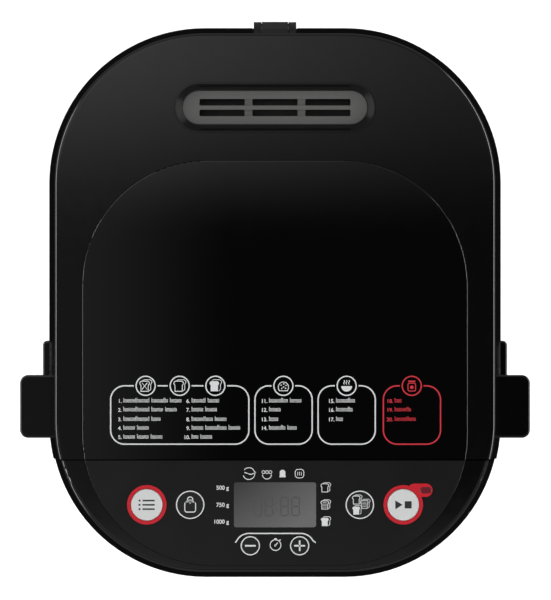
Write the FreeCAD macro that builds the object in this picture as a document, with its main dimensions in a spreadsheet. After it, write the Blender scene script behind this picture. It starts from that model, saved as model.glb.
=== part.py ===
"""Bread machine: housing, hinged lid, oven chamber, lift-out pan, belt drive and control panel.

Frame: +Z up, front towards -Y, origin under the middle of the overall box, on the table.
Lengths are millimetres and angles are degrees.
"""
import FreeCAD, Part
import math
import os
import re
import Sketcher

Vector = FreeCAD.Vector

SIZES = {
    # outside of the body, seen from above
    "body_width": 274.2,
    "body_depth": 334.6,
    "rear_corner": 94.1,
    "front_corner": 94.7,
    "front_strip": 72.0,
    "lid_overhang": 0.9,
    "seam_gap": 0.8,
    "wall": 2.5,
    # heights
    "top_height": 300.0,
    "foot_height": 8.0,
    "housing_top": 226.0,
    "joint_line": 238.0,
    "shadow_gap": 0.6,
    "flank_lean": 3.75,
    "body_lean": 1.5,
    "edge_round": 2.2,
    "housing_edge_round": 1.8,
    "fit_gap": 0.3,
    # arched panel shared by the lid and the control overlay
    "arch_side": 117.5,
    "arch_rear": 84.8,
    "arch_margin": 7.6,
    "arch_rear_round": 76.0,
    "arch_front_round": 79.3,
    "panel_thick": 1.4,
    "panel_gap": 0.25,
    "panel_edge_round": 0.5,
    # steam vent
    "vent_length": 122.6,
    "vent_width": 30.5,
    "vent_y": 116.8,
    "vent_depth": 7.0,
    "grille_length": 112.9,
    "grille_width": 20.6,
    "grille_thick": 2.0,
    "vent_slot_length": 27.5,
    "vent_slot_width": 4.0,
    "vent_slot_pitch": 32.2,
    "vent_row_pitch": 6.5,
    "vent_rib_thick": 0.8,
    # lid handles, carry grips
    "handle_length": 38.4,
    "handle_reach": 17.7,
    "handle_thick": 11.0,
    "handle_y": -65.3,
    "handle_round": 5.0,
    "handle_rise": 1.5,
    "grip_length": 54.0,
    "grip_tall": 40.0,
    "grip_reach": 5.0,
    "grip_depth": 18.0,
    "grip_lip": 4.0,
    "grip_y": -52.3,
    "grip_base": 176.0,
    "grip_round": 2.5,
    # hinge
    "hinge_width": 26.0,
    "lug_width": 16.0,
    "lug_reach": 3.7,
    "barrel_radius": 4.5,
    "hinge_pin_radius": 2.0,
    "running_gap": 0.05,
    "hinge_rise": 0.4,
    "hinge_block_deep": 12.0,
    "hinge_block_tall": 6.4,
    "hinge_block_back": 3.8,
    "hinge_clear": 0.8,
    # control layout: columns from the middle, rows from the front face
    "main_row": 44.7,
    "small_row": 19.8,
    "outer_column": 78.0,
    "inner_column": 51.6,
    "small_column": 15.0,
    "ring_radius": 12.0,
    "ring_height": 0.7,
    "main_key_radius": 9.5,
    "round_key_radius": 8.9,
    "small_key_radius": 6.1,
    "key_rise": 1.4,
    "flat_key_rise": 0.5,
    "key_gap": 0.25,
    "key_travel": 1.0,
    "key_edge_round": 0.45,
    "key_flange": 1.6,
    "stem_radius": 2.0,
    "lamp_x": 13.8,
    "lamp_y": 8.9,
    "lamp_tab_radius": 4.05,
    "lamp_length": 7.0,
    "lamp_width": 3.7,
    "display_width": 50.0,
    "display_depth": 27.4,
    "display_ledge": 1.6,
    "board_thick": 1.6,
    "board_top": 283.6,
    "board_margin": 8.0,
    "post_x": 94.0,
    "post_small_x": 58.0,
    "switch_size": 6.0,
    "switch_tall": 4.0,
    "plunger_radius": 1.7,
    "plunger_tall": 0.8,
    "post_radius": 3.0,
    # oven chamber
    "chamber_y": 28.0,
    "chamber_gap_x": 18.0,
    "chamber_gap_y": 20.0,
    "chamber_round": 25.0,
    "chamber_floor": 70.0,
    "sheet": 1.0,
    "chamber_flange": 6.0,
    "deck_thick": 3.0,
    "deck_drop": 2.0,
    # lid inside
    "cavity_top": 281.0,
    "liner_wall": 1.5,
    "liner_base": 242.0,
    "liner_edge_gap": 1.3,
    "reflector_thick": 0.8,
    "reflector_margin": 10.0,
    "lid_post_x": 124.0,
    "lid_post_radius": 4.0,
    "lid_post_y": 58.0,
    # pan
    "pan_width": 180.0,
    "pan_depth": 140.0,
    "pan_round": 30.0,
    "pan_draft": 6.0,
    "pan_bottom": 88.0,
    "pan_rim": 204.0,
    "pan_wall": 1.4,
    "rim_reach": 4.0,
    "rim_tall": 1.6,
    "ear_width": 24.0,
    "ear_thick": 2.0,
    "ear_drop": 24.0,
    "pivot_height": 208.0,
    "bail_radius": 62.0,
    "bail_wire": 2.2,
    "bail_bend": 22.0,
    "bail_hook": 5.3,
    "skirt_radius": 34.0,
    "skirt_wall": 1.5,
    "skirt_base": 73.0,
    "seat_gap": 0.4,
    "seat_wall": 2.0,
    "seat_tall": 8.0,
    # kneading train
    "knead_shaft_radius": 4.0,
    "knead_shaft_base": 80.5,
    "knead_shaft_top": 119.0,
    "pan_hub_radius": 8.0,
    "pan_flange_radius": 12.0,
    "paddle_base": 93.0,
    "paddle_tall": 25.0,
    "paddle_reach": 42.0,
    "paddle_thick": 5.0,
    "drive_shaft_radius": 5.0,
    "drive_shaft_base": 14.0,
    "dog_radius": 13.5,
    "dog_plate": 3.0,
    "dog_base": 73.5,
    "dog_tall": 5.5,
    "dog_width": 7.0,
    "wing_tall": 4.0,
    "wing_width": 6.0,
    # belt drive and chassis
    "belt_level": 22.0,
    "belt_width": 8.0,
    "belt_thick": 1.6,
    "belt_gap": 0.1,
    "big_pulley_radius": 48.0,
    "small_pulley_radius": 9.0,
    "pulley_flange": 2.4,
    "pulley_side": 1.5,
    "base_thick": 3.0,
    "chassis_height": 34.0,
    "chassis_thick": 2.0,
    "chassis_half_width": 100.0,
    "chassis_front": -136.0,
    "chassis_rear": 65.0,
    "bearing_radius": 9.0,
    "bearing_flange": 15.0,
    "bearing_top": 68.0,
    "motor_x": 50.0,
    "motor_y": -113.0,
    "motor_radius": 30.0,
    "motor_base": 40.0,
    "motor_tall": 54.0,
    "mount_radius": 6.0,
    "mount_spread": 22.0,
    "fan_radius": 25.0,
    "fan_hub": 8.0,
    "fan_tall": 9.0,
    # heater, sensor, boards, gland, feet, screws
    "heater_level": 82.0,
    "heater_wire": 3.2,
    "heater_inset_x": 9.0,
    "heater_inset_y": 10.0,
    "heater_bend": 36.0,
    "heater_gap": 26.0,
    "bush_radius": 6.0,
    "bush_long": 9.0,
    "clip_width": 10.0,
    "sensor_radius": 3.0,
    "sensor_height": 112.0,
    "sensor_x": 40.0,
    "power_width": 74.0,
    "power_depth": 52.0,
    "power_x": -50.0,
    "power_y": -108.0,
    "power_level": 46.0,
    "gland_x": -28.0,
    "gland_height": 34.0,
    "gland_bore": 3.6,
    "gland_side": 12.0,
    "gland_collar": 10.0,
    "gland_rim": 3.0,
    "gland_length": 16.0,
    "foot_radius": 11.0,
    "foot_stem": 3.5,
    "foot_x": 88.0,
    "foot_front_y": -112.0,
    "foot_rear_y": 112.0,
    "boss_radius": 5.0,
    "boss_tall": 34.0,
    "boss_inset": 6.5,
    "boss_y": 62.0,
    "screw_radius": 1.6,
    "screw_head": 3.6,
    "screw_head_tall": 2.0,
    "screw_long": 14.0,
}

# Places worked out from the sizes above.
PLACES = {
    "half_span": "(body_depth + lid_overhang + lug_reach) / 2",
    "rear_face": "body_depth - half_span",
    "seam_y": "front_strip - half_span",
    "body_side": "body_width / 2",
    "base_inset": "(housing_top - foot_height) * tan(body_lean)",
    "lid_base": "joint_line + shadow_gap",
    "panel_floor": "top_height - panel_thick",
    "top_plate_floor": "panel_floor - wall",
    "hinge_y": "rear_face + lid_overhang + lug_reach - barrel_radius",
    "hinge_z": "joint_line + hinge_rise",
    "deck_top": "joint_line - deck_drop",
    "deck_base": "deck_top - deck_thick",
    "base_top": "foot_height + base_thick",
    "chassis_top": "chassis_height + chassis_thick",
    "main_y": "main_row - half_span",
    "small_y": "small_row - half_span",
    "key_stem_base": "board_top + switch_tall + plunger_tall + key_travel + fit_gap",
    "key_flange_top": "top_plate_floor - fit_gap",
    "key_flange_base": "key_flange_top - 1.2",
    "chamber_width": "pan_width + 2 * chamber_gap_x",
    "chamber_depth": "pan_depth + 2 * chamber_gap_y",
    "heater_width": "chamber_width - 2 * heater_inset_x",
    "heater_depth": "chamber_depth - 2 * heater_inset_y",
    "heater_side": "heater_width / 2",
    "belt_base": "belt_level - belt_width / 2",
    "motor_top": "motor_base + motor_tall",
    "cavity_width": "chamber_width + 4",
    "cavity_depth": "chamber_depth + 4",
    "chamber_wall_x": "chamber_width / 2",
    "ear_x": "pan_width / 2 + rim_reach + fit_gap",
    "power_top": "power_level + board_thick",
    "hinge_barrel_drop": "barrel_radius + hinge_clear",
    "hinge_block_base": "hinge_z - hinge_barrel_drop - hinge_block_tall + 0.2",
    "lip_seat": "housing_top + shadow_gap + 2",
}

doc = FreeCAD.newDocument("bread_machine")
sheet = doc.addObject("Spreadsheet::Sheet", "Sizes")
for line, (word, size) in enumerate(SIZES.items(), 1):
    sheet.set(f"A{line}", word)
    sheet.set(f"B{line}", str(size))
    sheet.setAlias(f"B{line}", word)
doc.recompute()

NODES = {}


# ---------------------------------------------------------------- helpers

def expr(text):
    """Spell out a size expression: place names in full, size names as sheet cells."""
    def swap(match):
        word = match[0]
        if word in PLACES:
            return "(" + expr(PLACES[word]) + ")"
        if word in SIZES:
            return "Sizes." + word
        return word
    return re.sub(r"[a-z]\w*", swap, str(text))


def measure(text):
    """The value that an expression has now, for starting shapes and for loops."""
    return float(sheet.evalExpression(expr(text)))


def bind(thing, **properties):
    for name, text in properties.items():
        thing.setExpression(name, expr(text))


def move(thing, x, y, z):
    for axis, text in zip("xyz", (x, y, z)):
        thing.setExpression(f"Placement.Base.{axis}", expr(text))


def node(name, thing):
    """Give a finished sub-part the label that names its file."""
    thing.Label = name
    NODES[name] = thing
    return thing


def block(name, size, centre, bottom):
    """A box centred on (x, y) that stands on bottom."""
    box = doc.addObject("Part::Box", name)
    bind(box, Length=size[0], Width=size[1], Height=size[2])
    move(box, f"{centre[0]} - ({size[0]}) / 2", f"{centre[1]} - ({size[1]}) / 2", bottom)
    return box


TURNS = {
    "Z": FreeCAD.Rotation(),
    "X": FreeCAD.Rotation(Vector(0, 1, 0), 90),
    "Y": FreeCAD.Rotation(Vector(1, 0, 0), -90),
}


def rod(name, radius, length, start, axis="Z"):
    """A cylinder from start along +X, +Y or +Z."""
    body = doc.addObject("Part::Cylinder", name)
    bind(body, Radius=radius, Height=length)
    body.Placement = FreeCAD.Placement(Vector(), TURNS[axis])
    move(body, *start)
    return body


def join(name, *things):
    fused = doc.addObject("Part::MultiFuse", name)
    fused.Shapes = list(things)
    return fused


def cut(name, base, *tools):
    result = doc.addObject("Part::Cut", name)
    result.Base = base
    result.Tool = tools[0] if len(tools) == 1 else join(name + "_tools", *tools)
    return result


def common(name, first, second):
    result = doc.addObject("Part::Common", name)
    result.Base = first
    result.Tool = second
    return result


def group(name, things):
    """Separate solids that are kept in one node."""
    bundle = doc.addObject("Part::Compound", name)
    bundle.Links = list(things)
    return bundle


def tube(name, outer, inner, length, start, axis="Z"):
    """A round sleeve; the bore runs through both ends."""
    full = rod(name + "_full", outer, length, start, axis)
    bore = rod(name + "_bore", inner, length, start, axis)
    return cut(name, full, bore)


def new_sketch(body, name, plane="XY_Plane", offset=("0", "0", "0")):
    sketch = body.newObject("Sketcher::SketchObject", name)
    origin_plane = next(item for item in body.Origin.OriginFeatures if item.Role == plane)
    sketch.AttachmentSupport = [(origin_plane, "")]
    sketch.MapMode = "FlatFace"
    for axis, text in zip("xyz", offset):
        sketch.setExpression(f"AttachmentOffset.Base.{axis}", expr(text))
    return sketch


def dimension(sketch, kind, *place, text):
    """Add one dimension and bind it to its expression."""
    value = measure(text)
    index = sketch.addConstraint(Sketcher.Constraint(kind, *place, value))
    sketch.setExpression(f"Constraints[{index}]", expr(text))


def locate(sketch, line, point, x, y):
    """Place one end of a line from the sketch's origin, on either side of it."""
    for kind, axis_line, text in (("DistanceX", -2, x), ("DistanceY", -1, y)):
        value = measure(text)
        if abs(value) < 1e-9:
            sketch.addConstraint(Sketcher.Constraint("PointOnObject", line, point, axis_line))
        elif value > 0:
            dimension(sketch, kind, -1, 1, line, point, text=text)
        else:
            dimension(sketch, kind, line, point, -1, 1, text=f"-({text})")


def draw_outline(sketch, side, rear, front, rear_round, front_round):
    """A rounded rectangle whose rear and front corners differ."""
    half, back, fore, big, small = (measure(t) for t in (side, rear, front, rear_round, front_round))
    corners = (
        (half - big, back - big, big, 0),
        (big - half, back - big, big, 1),
        (small - half, small - fore, small, 2),
        (half - small, small - fore, small, 3),
    )
    for x, y, radius, quarter in corners:
        circle = Part.Circle(Vector(x, y, 0), Vector(0, 0, 1), radius)
        start = quarter * math.pi / 2
        sketch.addGeometry(Part.ArcOfCircle(circle, start, start + math.pi / 2), False)
    ends = (
        ((half - big, back), (big - half, back)),
        ((-half, back - big), (-half, small - fore)),
        ((small - half, -fore), (half - small, -fore)),
        ((half, small - fore), (half, back - big)),
    )
    for first, last in ends:
        sketch.addGeometry(Part.LineSegment(Vector(*first, 0), Vector(*last, 0)), False)
    for corner in range(4):
        sketch.addConstraint(Sketcher.Constraint("Tangent", corner, 2, 4 + corner, 1))
        sketch.addConstraint(Sketcher.Constraint("Tangent", 4 + corner, 2, (corner + 1) % 4, 1))
    for line in (4, 6):
        sketch.addConstraint(Sketcher.Constraint("Horizontal", line))
    for line in (5, 7):
        sketch.addConstraint(Sketcher.Constraint("Vertical", line))
    sketch.addConstraint(Sketcher.Constraint("Equal", 0, 1))
    sketch.addConstraint(Sketcher.Constraint("Equal", 2, 3))
    dimension(sketch, "DistanceX", -1, 1, 7, 1, text=side)
    dimension(sketch, "DistanceX", 5, 1, -1, 1, text=side)
    dimension(sketch, "DistanceY", -1, 1, 4, 1, text=rear)
    dimension(sketch, "DistanceY", 6, 1, -1, 1, text=front)
    dimension(sketch, "Radius", 0, text=rear_round)
    dimension(sketch, "Radius", 2, text=front_round)


def draw_stadium(sketch, length, width):
    """A slot shape with two round ends."""
    reach = f"({length}) / 2 - ({width}) / 2"
    x, r = measure(reach), measure(width) / 2
    for centre, start in ((x, -math.pi / 2), (-x, math.pi / 2)):
        circle = Part.Circle(Vector(centre, 0, 0), Vector(0, 0, 1), r)
        sketch.addGeometry(Part.ArcOfCircle(circle, start, start + math.pi), False)
    sketch.addGeometry(Part.LineSegment(Vector(x, r, 0), Vector(-x, r, 0)), False)
    sketch.addGeometry(Part.LineSegment(Vector(-x, -r, 0), Vector(x, -r, 0)), False)
    for first, second in ((0, 2), (2, 1), (1, 3), (3, 0)):
        sketch.addConstraint(Sketcher.Constraint("Tangent", first, 2, second, 1))
    sketch.addConstraint(Sketcher.Constraint("Equal", 0, 1))
    sketch.addConstraint(Sketcher.Constraint("Horizontal", 2))
    sketch.addConstraint(Sketcher.Constraint("PointOnObject", 0, 3, -1))
    dimension(sketch, "DistanceX", -1, 1, 0, 3, text=reach)
    dimension(sketch, "DistanceX", 1, 3, -1, 1, text=reach)
    dimension(sketch, "Radius", 0, text=f"({width}) / 2")


def draw_polygon(sketch, points):
    """A closed run of straight lines, each corner placed from the sketch's origin."""
    corners = [Vector(measure(x), measure(y), 0) for x, y in points]
    count = len(points)
    for index in range(count):
        line = Part.LineSegment(corners[index], corners[(index + 1) % count])
        sketch.addGeometry(line, False)
    for index in range(count):
        sketch.addConstraint(Sketcher.Constraint("Coincident", index, 2, (index + 1) % count, 1))
    for index, (x, y) in enumerate(points):
        locate(sketch, index, 1, x, y)


def pad(body, sketch, length, lean="0", down=False):
    """Extrude a sketch; a positive lean narrows it as it goes."""
    feature = body.newObject("PartDesign::Pad", sketch.Name + "_pad")
    feature.Profile = sketch
    bind(feature, Length=length, TaperAngle=f"-({lean})")
    feature.Reversed = down
    return feature


def outline(name, inset, bottom, height, lean="0", down=False):
    """A solid with the body's plan outline, drawn in by inset."""
    body = doc.addObject("PartDesign::Body", name)
    sketch = new_sketch(body, name + "_plan", offset=("0", "0", bottom))
    draw_outline(sketch, f"body_side - ({inset})", f"rear_face - ({inset})", f"half_span - ({inset})",
                 f"rear_corner - ({inset})", f"front_corner - ({inset})")
    pad(body, sketch, height, lean, down)
    return body


def arch(name, inset, bottom, height):
    """A solid with the arched panel's plan outline, drawn in by inset."""
    body = doc.addObject("PartDesign::Body", name)
    sketch = new_sketch(body, name + "_plan", offset=("0", "0", bottom))
    draw_outline(sketch, f"arch_side - ({inset})", f"arch_rear - ({inset})",
                 f"half_span - arch_margin - ({inset})",
                 f"arch_rear_round - ({inset})", f"arch_front_round - ({inset})")
    pad(body, sketch, height)
    return body


def rounded(name, size, corner, centre, bottom, height, lean="0"):
    """A rounded rectangle extruded upwards."""
    body = doc.addObject("PartDesign::Body", name)
    sketch = new_sketch(body, name + "_plan", offset=(centre[0], centre[1], bottom))
    half_width, half_depth = f"({size[0]}) / 2", f"({size[1]}) / 2"
    draw_outline(sketch, half_width, half_depth, half_depth, corner, corner)
    pad(body, sketch, height, lean)
    return body


def stadium(name, length, width, centre, bottom, height, lean="0", down=False):
    body = doc.addObject("PartDesign::Body", name)
    sketch = new_sketch(body, name + "_plan", offset=(centre[0], centre[1], bottom))
    draw_stadium(sketch, length, width)
    pad(body, sketch, height, lean, down)
    return body


def turned(name, points, centre=("0", "0")):
    """A solid of revolution about a vertical axis; points are (radius, height)."""
    body = doc.addObject("PartDesign::Body", name)
    sketch = new_sketch(body, name + "_section", "XZ_Plane")
    draw_polygon(sketch, points)
    feature = body.newObject("PartDesign::Revolution", name + "_turn")
    feature.Profile = sketch
    feature.ReferenceAxis = (sketch, ["V_Axis"])
    feature.Angle = 360
    move(body, centre[0], centre[1], "0")
    return body


def plate(name, points, thickness, plane, centre=("0", "0", "0")):
    """A flat piece cut to a polygon and thickened evenly to both sides of its plane."""
    body = doc.addObject("PartDesign::Body", name)
    sketch = new_sketch(body, name + "_plan", plane)
    draw_polygon(sketch, points)
    feature = pad(body, sketch, thickness)
    feature.Midplane = True
    move(body, *centre)
    return body


def soften(body, radius, chosen):
    """Round the edges of a body that chosen(edge) picks."""
    doc.recompute()
    tip = body.Tip
    names = [f"Edge{i}" for i, edge in enumerate(tip.Shape.Edges, 1) if chosen(edge.BoundBox)]
    feature = body.newObject("PartDesign::Fillet", body.Name + "_round")
    feature.Base = (tip, names)
    bind(feature, Radius=radius)
    return body


def level(text):
    """Picks the flat edges that lie at one height."""
    height = measure(text)
    return lambda box: abs(box.ZMin - height) < 1e-4 and abs(box.ZMax - height) < 1e-4


# ---------------------------------------------------------------- housing

# Everything in front of, or behind, the seam between the lid and the control tower.
FAR = "600"
TALL = "400"


def behind_seam(name):
    return block(name, (FAR, FAR, TALL), ("0", f"seam_y - seam_gap / 2 + {FAR} / 2"), "0")


def before_seam(name):
    return block(name, (FAR, FAR, TALL), ("0", f"seam_y + seam_gap / 2 - {FAR} / 2"), "0")


BOSS_SPOTS = [(side, row) for side in (-1, 1) for row in (-1, 1)]


def boss_place(side, row):
    return f"{side} * (body_side - base_inset - boss_inset)", f"{row} * boss_y"


def make_lower_housing():
    height = "housing_top - foot_height"
    outer = outline("housing_outer", "0", "housing_top", height, "body_lean", down=True)
    soften(outer, "housing_edge_round", level("foot_height"))
    inner = outline("housing_inner", "wall", "housing_top + 1", f"{height} + 2", "body_lean", down=True)
    shell = cut("housing_shell", outer, inner)
    bosses = []
    for index, spot in enumerate(BOSS_SPOTS):
        x, y = boss_place(*spot)
        bosses.append(tube(f"housing_boss{index}", "boss_radius", "screw_radius", "boss_tall",
                           (x, y, "base_top")))
    body = join("housing_body", shell, *bosses)
    openings = []
    for side in (-1, 1):
        openings.append(block(f"grip_hole{side + 1}",
                              ("40", "grip_length + 2 * fit_gap", "grip_tall + 2 * fit_gap"),
                              (f"{side} * body_side", "grip_y"), "grip_base - fit_gap"))
        for slot in range(9):
            openings.append(block(f"side_slot{side + 1}_{slot}", ("30", "3", "26"),
                                  (f"{side} * (body_side - 4)", f"{slot * 7 - 8}"), "44"))
    for slot in range(11):
        openings.append(block(f"rear_slot{slot}", ("3", "30", "34"),
                              (f"{slot * 7 - 35}", "rear_face - 5"), "92"))
    openings.append(block("gland_hole", ("gland_side + 0.2", "30", "gland_side + 0.2"),
                          ("gland_x", "rear_face - 5"), "gland_height - gland_side / 2 - 0.1"))
    node("lower_housing", cut("lower_housing_cut", body, *openings))


def make_carry_grip(name, side):
    reach = "grip_depth + grip_reach"
    middle = f"{side} * (body_side + (grip_reach - grip_depth) / 2)"
    cup = rounded(name + "_cup", (reach, "grip_length"), "grip_round", (middle, "grip_y"), "grip_base",
                  "grip_tall")
    soften(cup, "1.2", level("grip_base + grip_tall"))
    pocket = block(name + "_pocket", (reach, "grip_length - 2 * grip_lip", "grip_tall - 2.2 * grip_lip"),
                   (f"{side} * (body_side + (grip_reach - grip_depth) / 2 + grip_lip)", "grip_y"),
                   "grip_base + grip_lip")
    node(name, cut(name + "_cut", cup, pocket))


def make_top_frame():
    skirt_height = "joint_line - housing_top - shadow_gap"
    skirt = outline("frame_skirt", "0", "housing_top + shadow_gap", skirt_height)
    tower = outline("tower_outer", "0", "joint_line", "top_height - joint_line", "flank_lean")
    soften(tower, "edge_round", level("top_height"))
    tower_front = cut("tower_front", tower, behind_seam("tower_rear_cut"))
    outer = join("frame_outer", skirt, tower_front)
    low_hollow = outline("frame_low_hollow", "wall", "lip_seat", "deck_base - lip_seat")
    lip_hollow = outline("frame_lip_hollow", "2 * wall", "housing_top", "lip_seat - housing_top + 1")
    tower_hollow = outline("frame_tower_hollow", "wall", "deck_base - 1", "joint_line - deck_base + 1")
    tower_rise = outline("frame_tower_rise", "wall", "joint_line", "top_plate_floor - joint_line",
                         "flank_lean")
    tower_room = block("tower_room", (FAR, FAR, TALL), ("0", f"seam_y - seam_gap / 2 - wall - {FAR} / 2"),
                       "0")
    front_hollow = common("front_hollow", join("front_hollow_full", tower_hollow, tower_rise), tower_room)
    opening = rounded("deck_opening", ("chamber_width + 2 * sheet + 1", "chamber_depth + 2 * sheet + 1"),
                      "chamber_round + sheet", ("0", "chamber_y"), "deck_base - 1", "deck_thick + 2")
    lip_outer = outline("frame_lip_outer", "wall + fit_gap + 0.1", "housing_top - 4", "4 + shadow_gap + 1")
    lip_inner = outline("frame_lip_inner", "2 * wall", "housing_top - 5", "9")
    lip = cut("frame_lip", lip_outer, lip_inner)
    recess = common("overlay_recess", arch("overlay_recess_arch", "0", "panel_floor", "5"),
                    before_seam("overlay_recess_side"))
    well = common("deck_well", outline("deck_well_full", "wall", "deck_top", "deck_drop + 1"),
                  behind_seam("deck_well_side"))
    tools = [low_hollow, lip_hollow, front_hollow, opening, recess, well]
    tools.append(block("hinge_notch", ("hinge_width + 0.4", "hinge_block_deep + 12", "30"),
                       ("0", "rear_face - hinge_block_deep / 2 + 5.8"),
                       "hinge_z - hinge_barrel_drop - hinge_block_tall"))
    for name, radius, x, y in KEYS:
        tools.append(rod(f"{name}_hole", f"{radius} + key_gap", "10", (x, y, "top_plate_floor - 1")))
    tools.append(rounded("display_hole",
                         ("display_width - 2 * display_ledge", "display_depth - 2 * display_ledge"),
                         "1", ("0", "main_y"), "top_plate_floor - 1", "10"))
    tools.append(stadium("lamp_hole", "lamp_length + 0.2", "lamp_width + 0.2",
                         ("outer_column + lamp_x", "main_y + lamp_y"), "top_plate_floor - 1", "10"))
    shell = cut("frame_shell", outer, *tools)
    posts = []
    for index, (x, y) in enumerate(BOARD_POSTS):
        posts.append(rod(f"board_post{index}", "post_radius", "top_plate_floor - board_top + 0.5",
                         (x, y, "board_top")))
    node("top_frame", join("top_frame_all", shell, cut("frame_lip_open", lip, hinge_lip_cut()), *posts))


def hinge_lip_cut():
    return block("hinge_lip_notch", ("hinge_width + 0.4", "60", "20"), ("0", "rear_face"), "hinge_block_base")


KEYS = (
    ("menu_button", "main_key_radius", "-outer_column", "main_y"),
    ("start_button", "main_key_radius", "outer_column", "main_y"),
    ("weight_button", "round_key_radius", "-inner_column", "main_y"),
    ("crust_button", "round_key_radius", "inner_column", "main_y"),
    ("minus_button", "small_key_radius", "-small_column", "small_y"),
    ("plus_button", "small_key_radius", "small_column", "small_y"),
)

BOARD_POSTS = (
    ("-post_x", "main_y + main_row / 2"), ("post_x", "main_y + main_row / 2"),
    ("-post_small_x", "small_y + 4"), ("post_small_x", "small_y + 4"),
)


def make_base_plate():
    inset = "base_inset + wall + fit_gap"
    floor = outline("base_sheet", inset, "foot_height", "base_thick")
    tools = []
    for index, (side, row) in enumerate(BOSS_SPOTS):
        x, y = boss_place(side, row)
        tools.append(rod(f"base_hole{index}", "screw_radius + 0.3", "9", (x, y, "foot_height - 3")))
    for index, (x, y) in enumerate(foot_places()):
        tools.append(rod(f"foot_hole{index}", "foot_stem + 0.1", "9", (x, y, "foot_height - 3")))
    for slot in range(7):
        tools.append(block(f"base_slot{slot}", ("3", "44", "9"), (f"{slot * 8 - 24}", "-112"),
                           "foot_height - 3"))
    node("base_plate", cut("base_plate_cut", floor, *tools))


def foot_places():
    return [(f"{side} * foot_x", row) for side in (-1, 1) for row in ("foot_front_y", "foot_rear_y")]


def make_rubber_feet():
    feet = []
    for index, (x, y) in enumerate(foot_places()):
        profile = [("0", "0"), ("foot_radius - 1.5", "0"), ("foot_radius - 0.5", "1"),
                   ("foot_radius", "foot_height"), ("foot_stem", "foot_height"),
                   ("foot_stem", "foot_height + base_thick + 2"), ("0", "foot_height + base_thick + 2")]
        feet.append(turned(f"foot{index}", profile, (x, y)))
    node("rubber_feet", group("feet_group", feet))


def screw(name, x, y, head, up=True, long="screw_long"):
    """A screw whose shank points up, or down, from its head's seat."""
    if up:
        parts = (rod(name + "_shank", "screw_radius", long, (x, y, head)),
                 rod(name + "_head", "screw_head", "screw_head_tall", (x, y, f"{head} - screw_head_tall")))
    else:
        parts = (rod(name + "_shank", "screw_radius", long, (x, y, f"{head} - {long}")),
                 rod(name + "_head", "screw_head", "screw_head_tall", (x, y, head)))
    return join(name, *parts)


def make_housing_screws():
    screws = []
    for index, spot in enumerate(BOSS_SPOTS):
        x, y = boss_place(*spot)
        screws.append(screw(f"base_screw{index}", x, y, "foot_height"))
    node("housing_screws", group("screw_group", screws))


# ---------------------------------------------------------------- hinge

def make_hinge():
    bed = block("hinge_bed",
                ("hinge_width", "hinge_block_deep + hinge_block_back", "hinge_block_tall - 0.2"),
                ("0", "rear_face + (hinge_block_back - hinge_block_deep) / 2"), "hinge_block_base")
    ear_width = "(hinge_width - lug_width) / 2 - fit_gap"
    pieces = [bed]
    tools = []
    for side in (-1, 1):
        ear_x = f"{side} * (hinge_width / 2 - ({ear_width}) / 2)"
        start_x = f"{ear_x} - ({ear_width}) / 2"
        pieces.append(rod(f"hinge_ear{side + 1}", "barrel_radius", ear_width,
                          (start_x, "hinge_y", "hinge_z"), "X"))
        pieces.append(block(f"hinge_web{side + 1}",
                            (ear_width, "2 * barrel_radius", "hinge_z - hinge_block_base"),
                            (ear_x, "hinge_y"), "hinge_block_base"))
    tools.append(rod("hinge_pin_hole", "hinge_pin_radius", "hinge_width + 2",
                     ("-hinge_width / 2 - 1", "hinge_y", "hinge_z"), "X"))
    node("hinge_bracket", cut("hinge_bracket_cut", join("hinge_bracket_body", *pieces), *tools))
    node("hinge_pin", rod("hinge_pin_rod", "hinge_pin_radius", "hinge_width",
                          ("-hinge_width / 2", "hinge_y", "hinge_z"), "X"))


# ---------------------------------------------------------------- lid

def make_lid_shell():
    out = "0 - lid_overhang"
    height = "top_height - lid_base"
    outer = outline("lid_outer", out, "lid_base", height, "flank_lean")
    soften(outer, "edge_round", level("top_height"))
    front_cut = block("lid_front_cut", (FAR, FAR, TALL), ("0", f"seam_y + seam_gap / 2 - {FAR} / 2"), "0")
    block_lid = cut("lid_block", outer, front_cut)
    inner = outline("lid_inner", f"{out} + wall", "lid_base", "top_plate_floor - lid_base", "flank_lean")
    room = block("lid_room", (FAR, FAR, TALL), ("0", f"seam_y + seam_gap / 2 + wall + {FAR} / 2"), "0")
    hollow = common("lid_hollow", inner, room)
    recess = arch("lid_recess", "0", "panel_floor", "5")
    tools = [hollow, recess]
    tools.append(stadium("lid_vent_hole", "vent_length + 0.3", "vent_width + 0.3", ("0", "vent_y"),
                         "top_plate_floor - 1", "12"))
    shell = cut("lid_hollowed", block_lid, *tools)
    posts = []
    for index, (side, row) in enumerate(LID_POSTS):
        posts.append(tube(f"lid_post{index}", "lid_post_radius", "screw_radius",
                          "top_plate_floor - liner_base - liner_wall + 0.5",
                          (f"{side} * lid_post_x", row, "liner_base + liner_wall")))
    arm = block("lug_arm", ("lug_width", "barrel_radius + 2", "9"),
                ("0", "hinge_y + (barrel_radius - 2) / 2"), "hinge_z")
    lug = join("lug", arm, rod("lug_barrel", "barrel_radius", "lug_width",
                               ("-lug_width / 2", "hinge_y", "hinge_z"), "X"))
    notches = []
    for side in (-1, 1):
        notches.append(block(f"ear_notch{side + 1}",
                             ("(hinge_width - lug_width) / 2 + 0.8", "24", "barrel_radius + 0.9 + hinge_z"),
                             (f"{side} * ((hinge_width + lug_width) / 4 + 0.4)", "rear_face"), "0"))
    body = join("lid_body", cut("lid_notched", shell, *notches), lug, *posts)
    bore = rod("lug_bore", "hinge_pin_radius + running_gap", "lug_width + 2",
               ("-lug_width / 2 - 1", "hinge_y", "hinge_z"), "X")
    node("lid_shell", cut("lid_shell_cut", body, bore))


LID_POSTS = ((-1, "lid_post_y"), (1, "lid_post_y"), (-1, "-lid_post_y"), (1, "-lid_post_y"))


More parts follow.
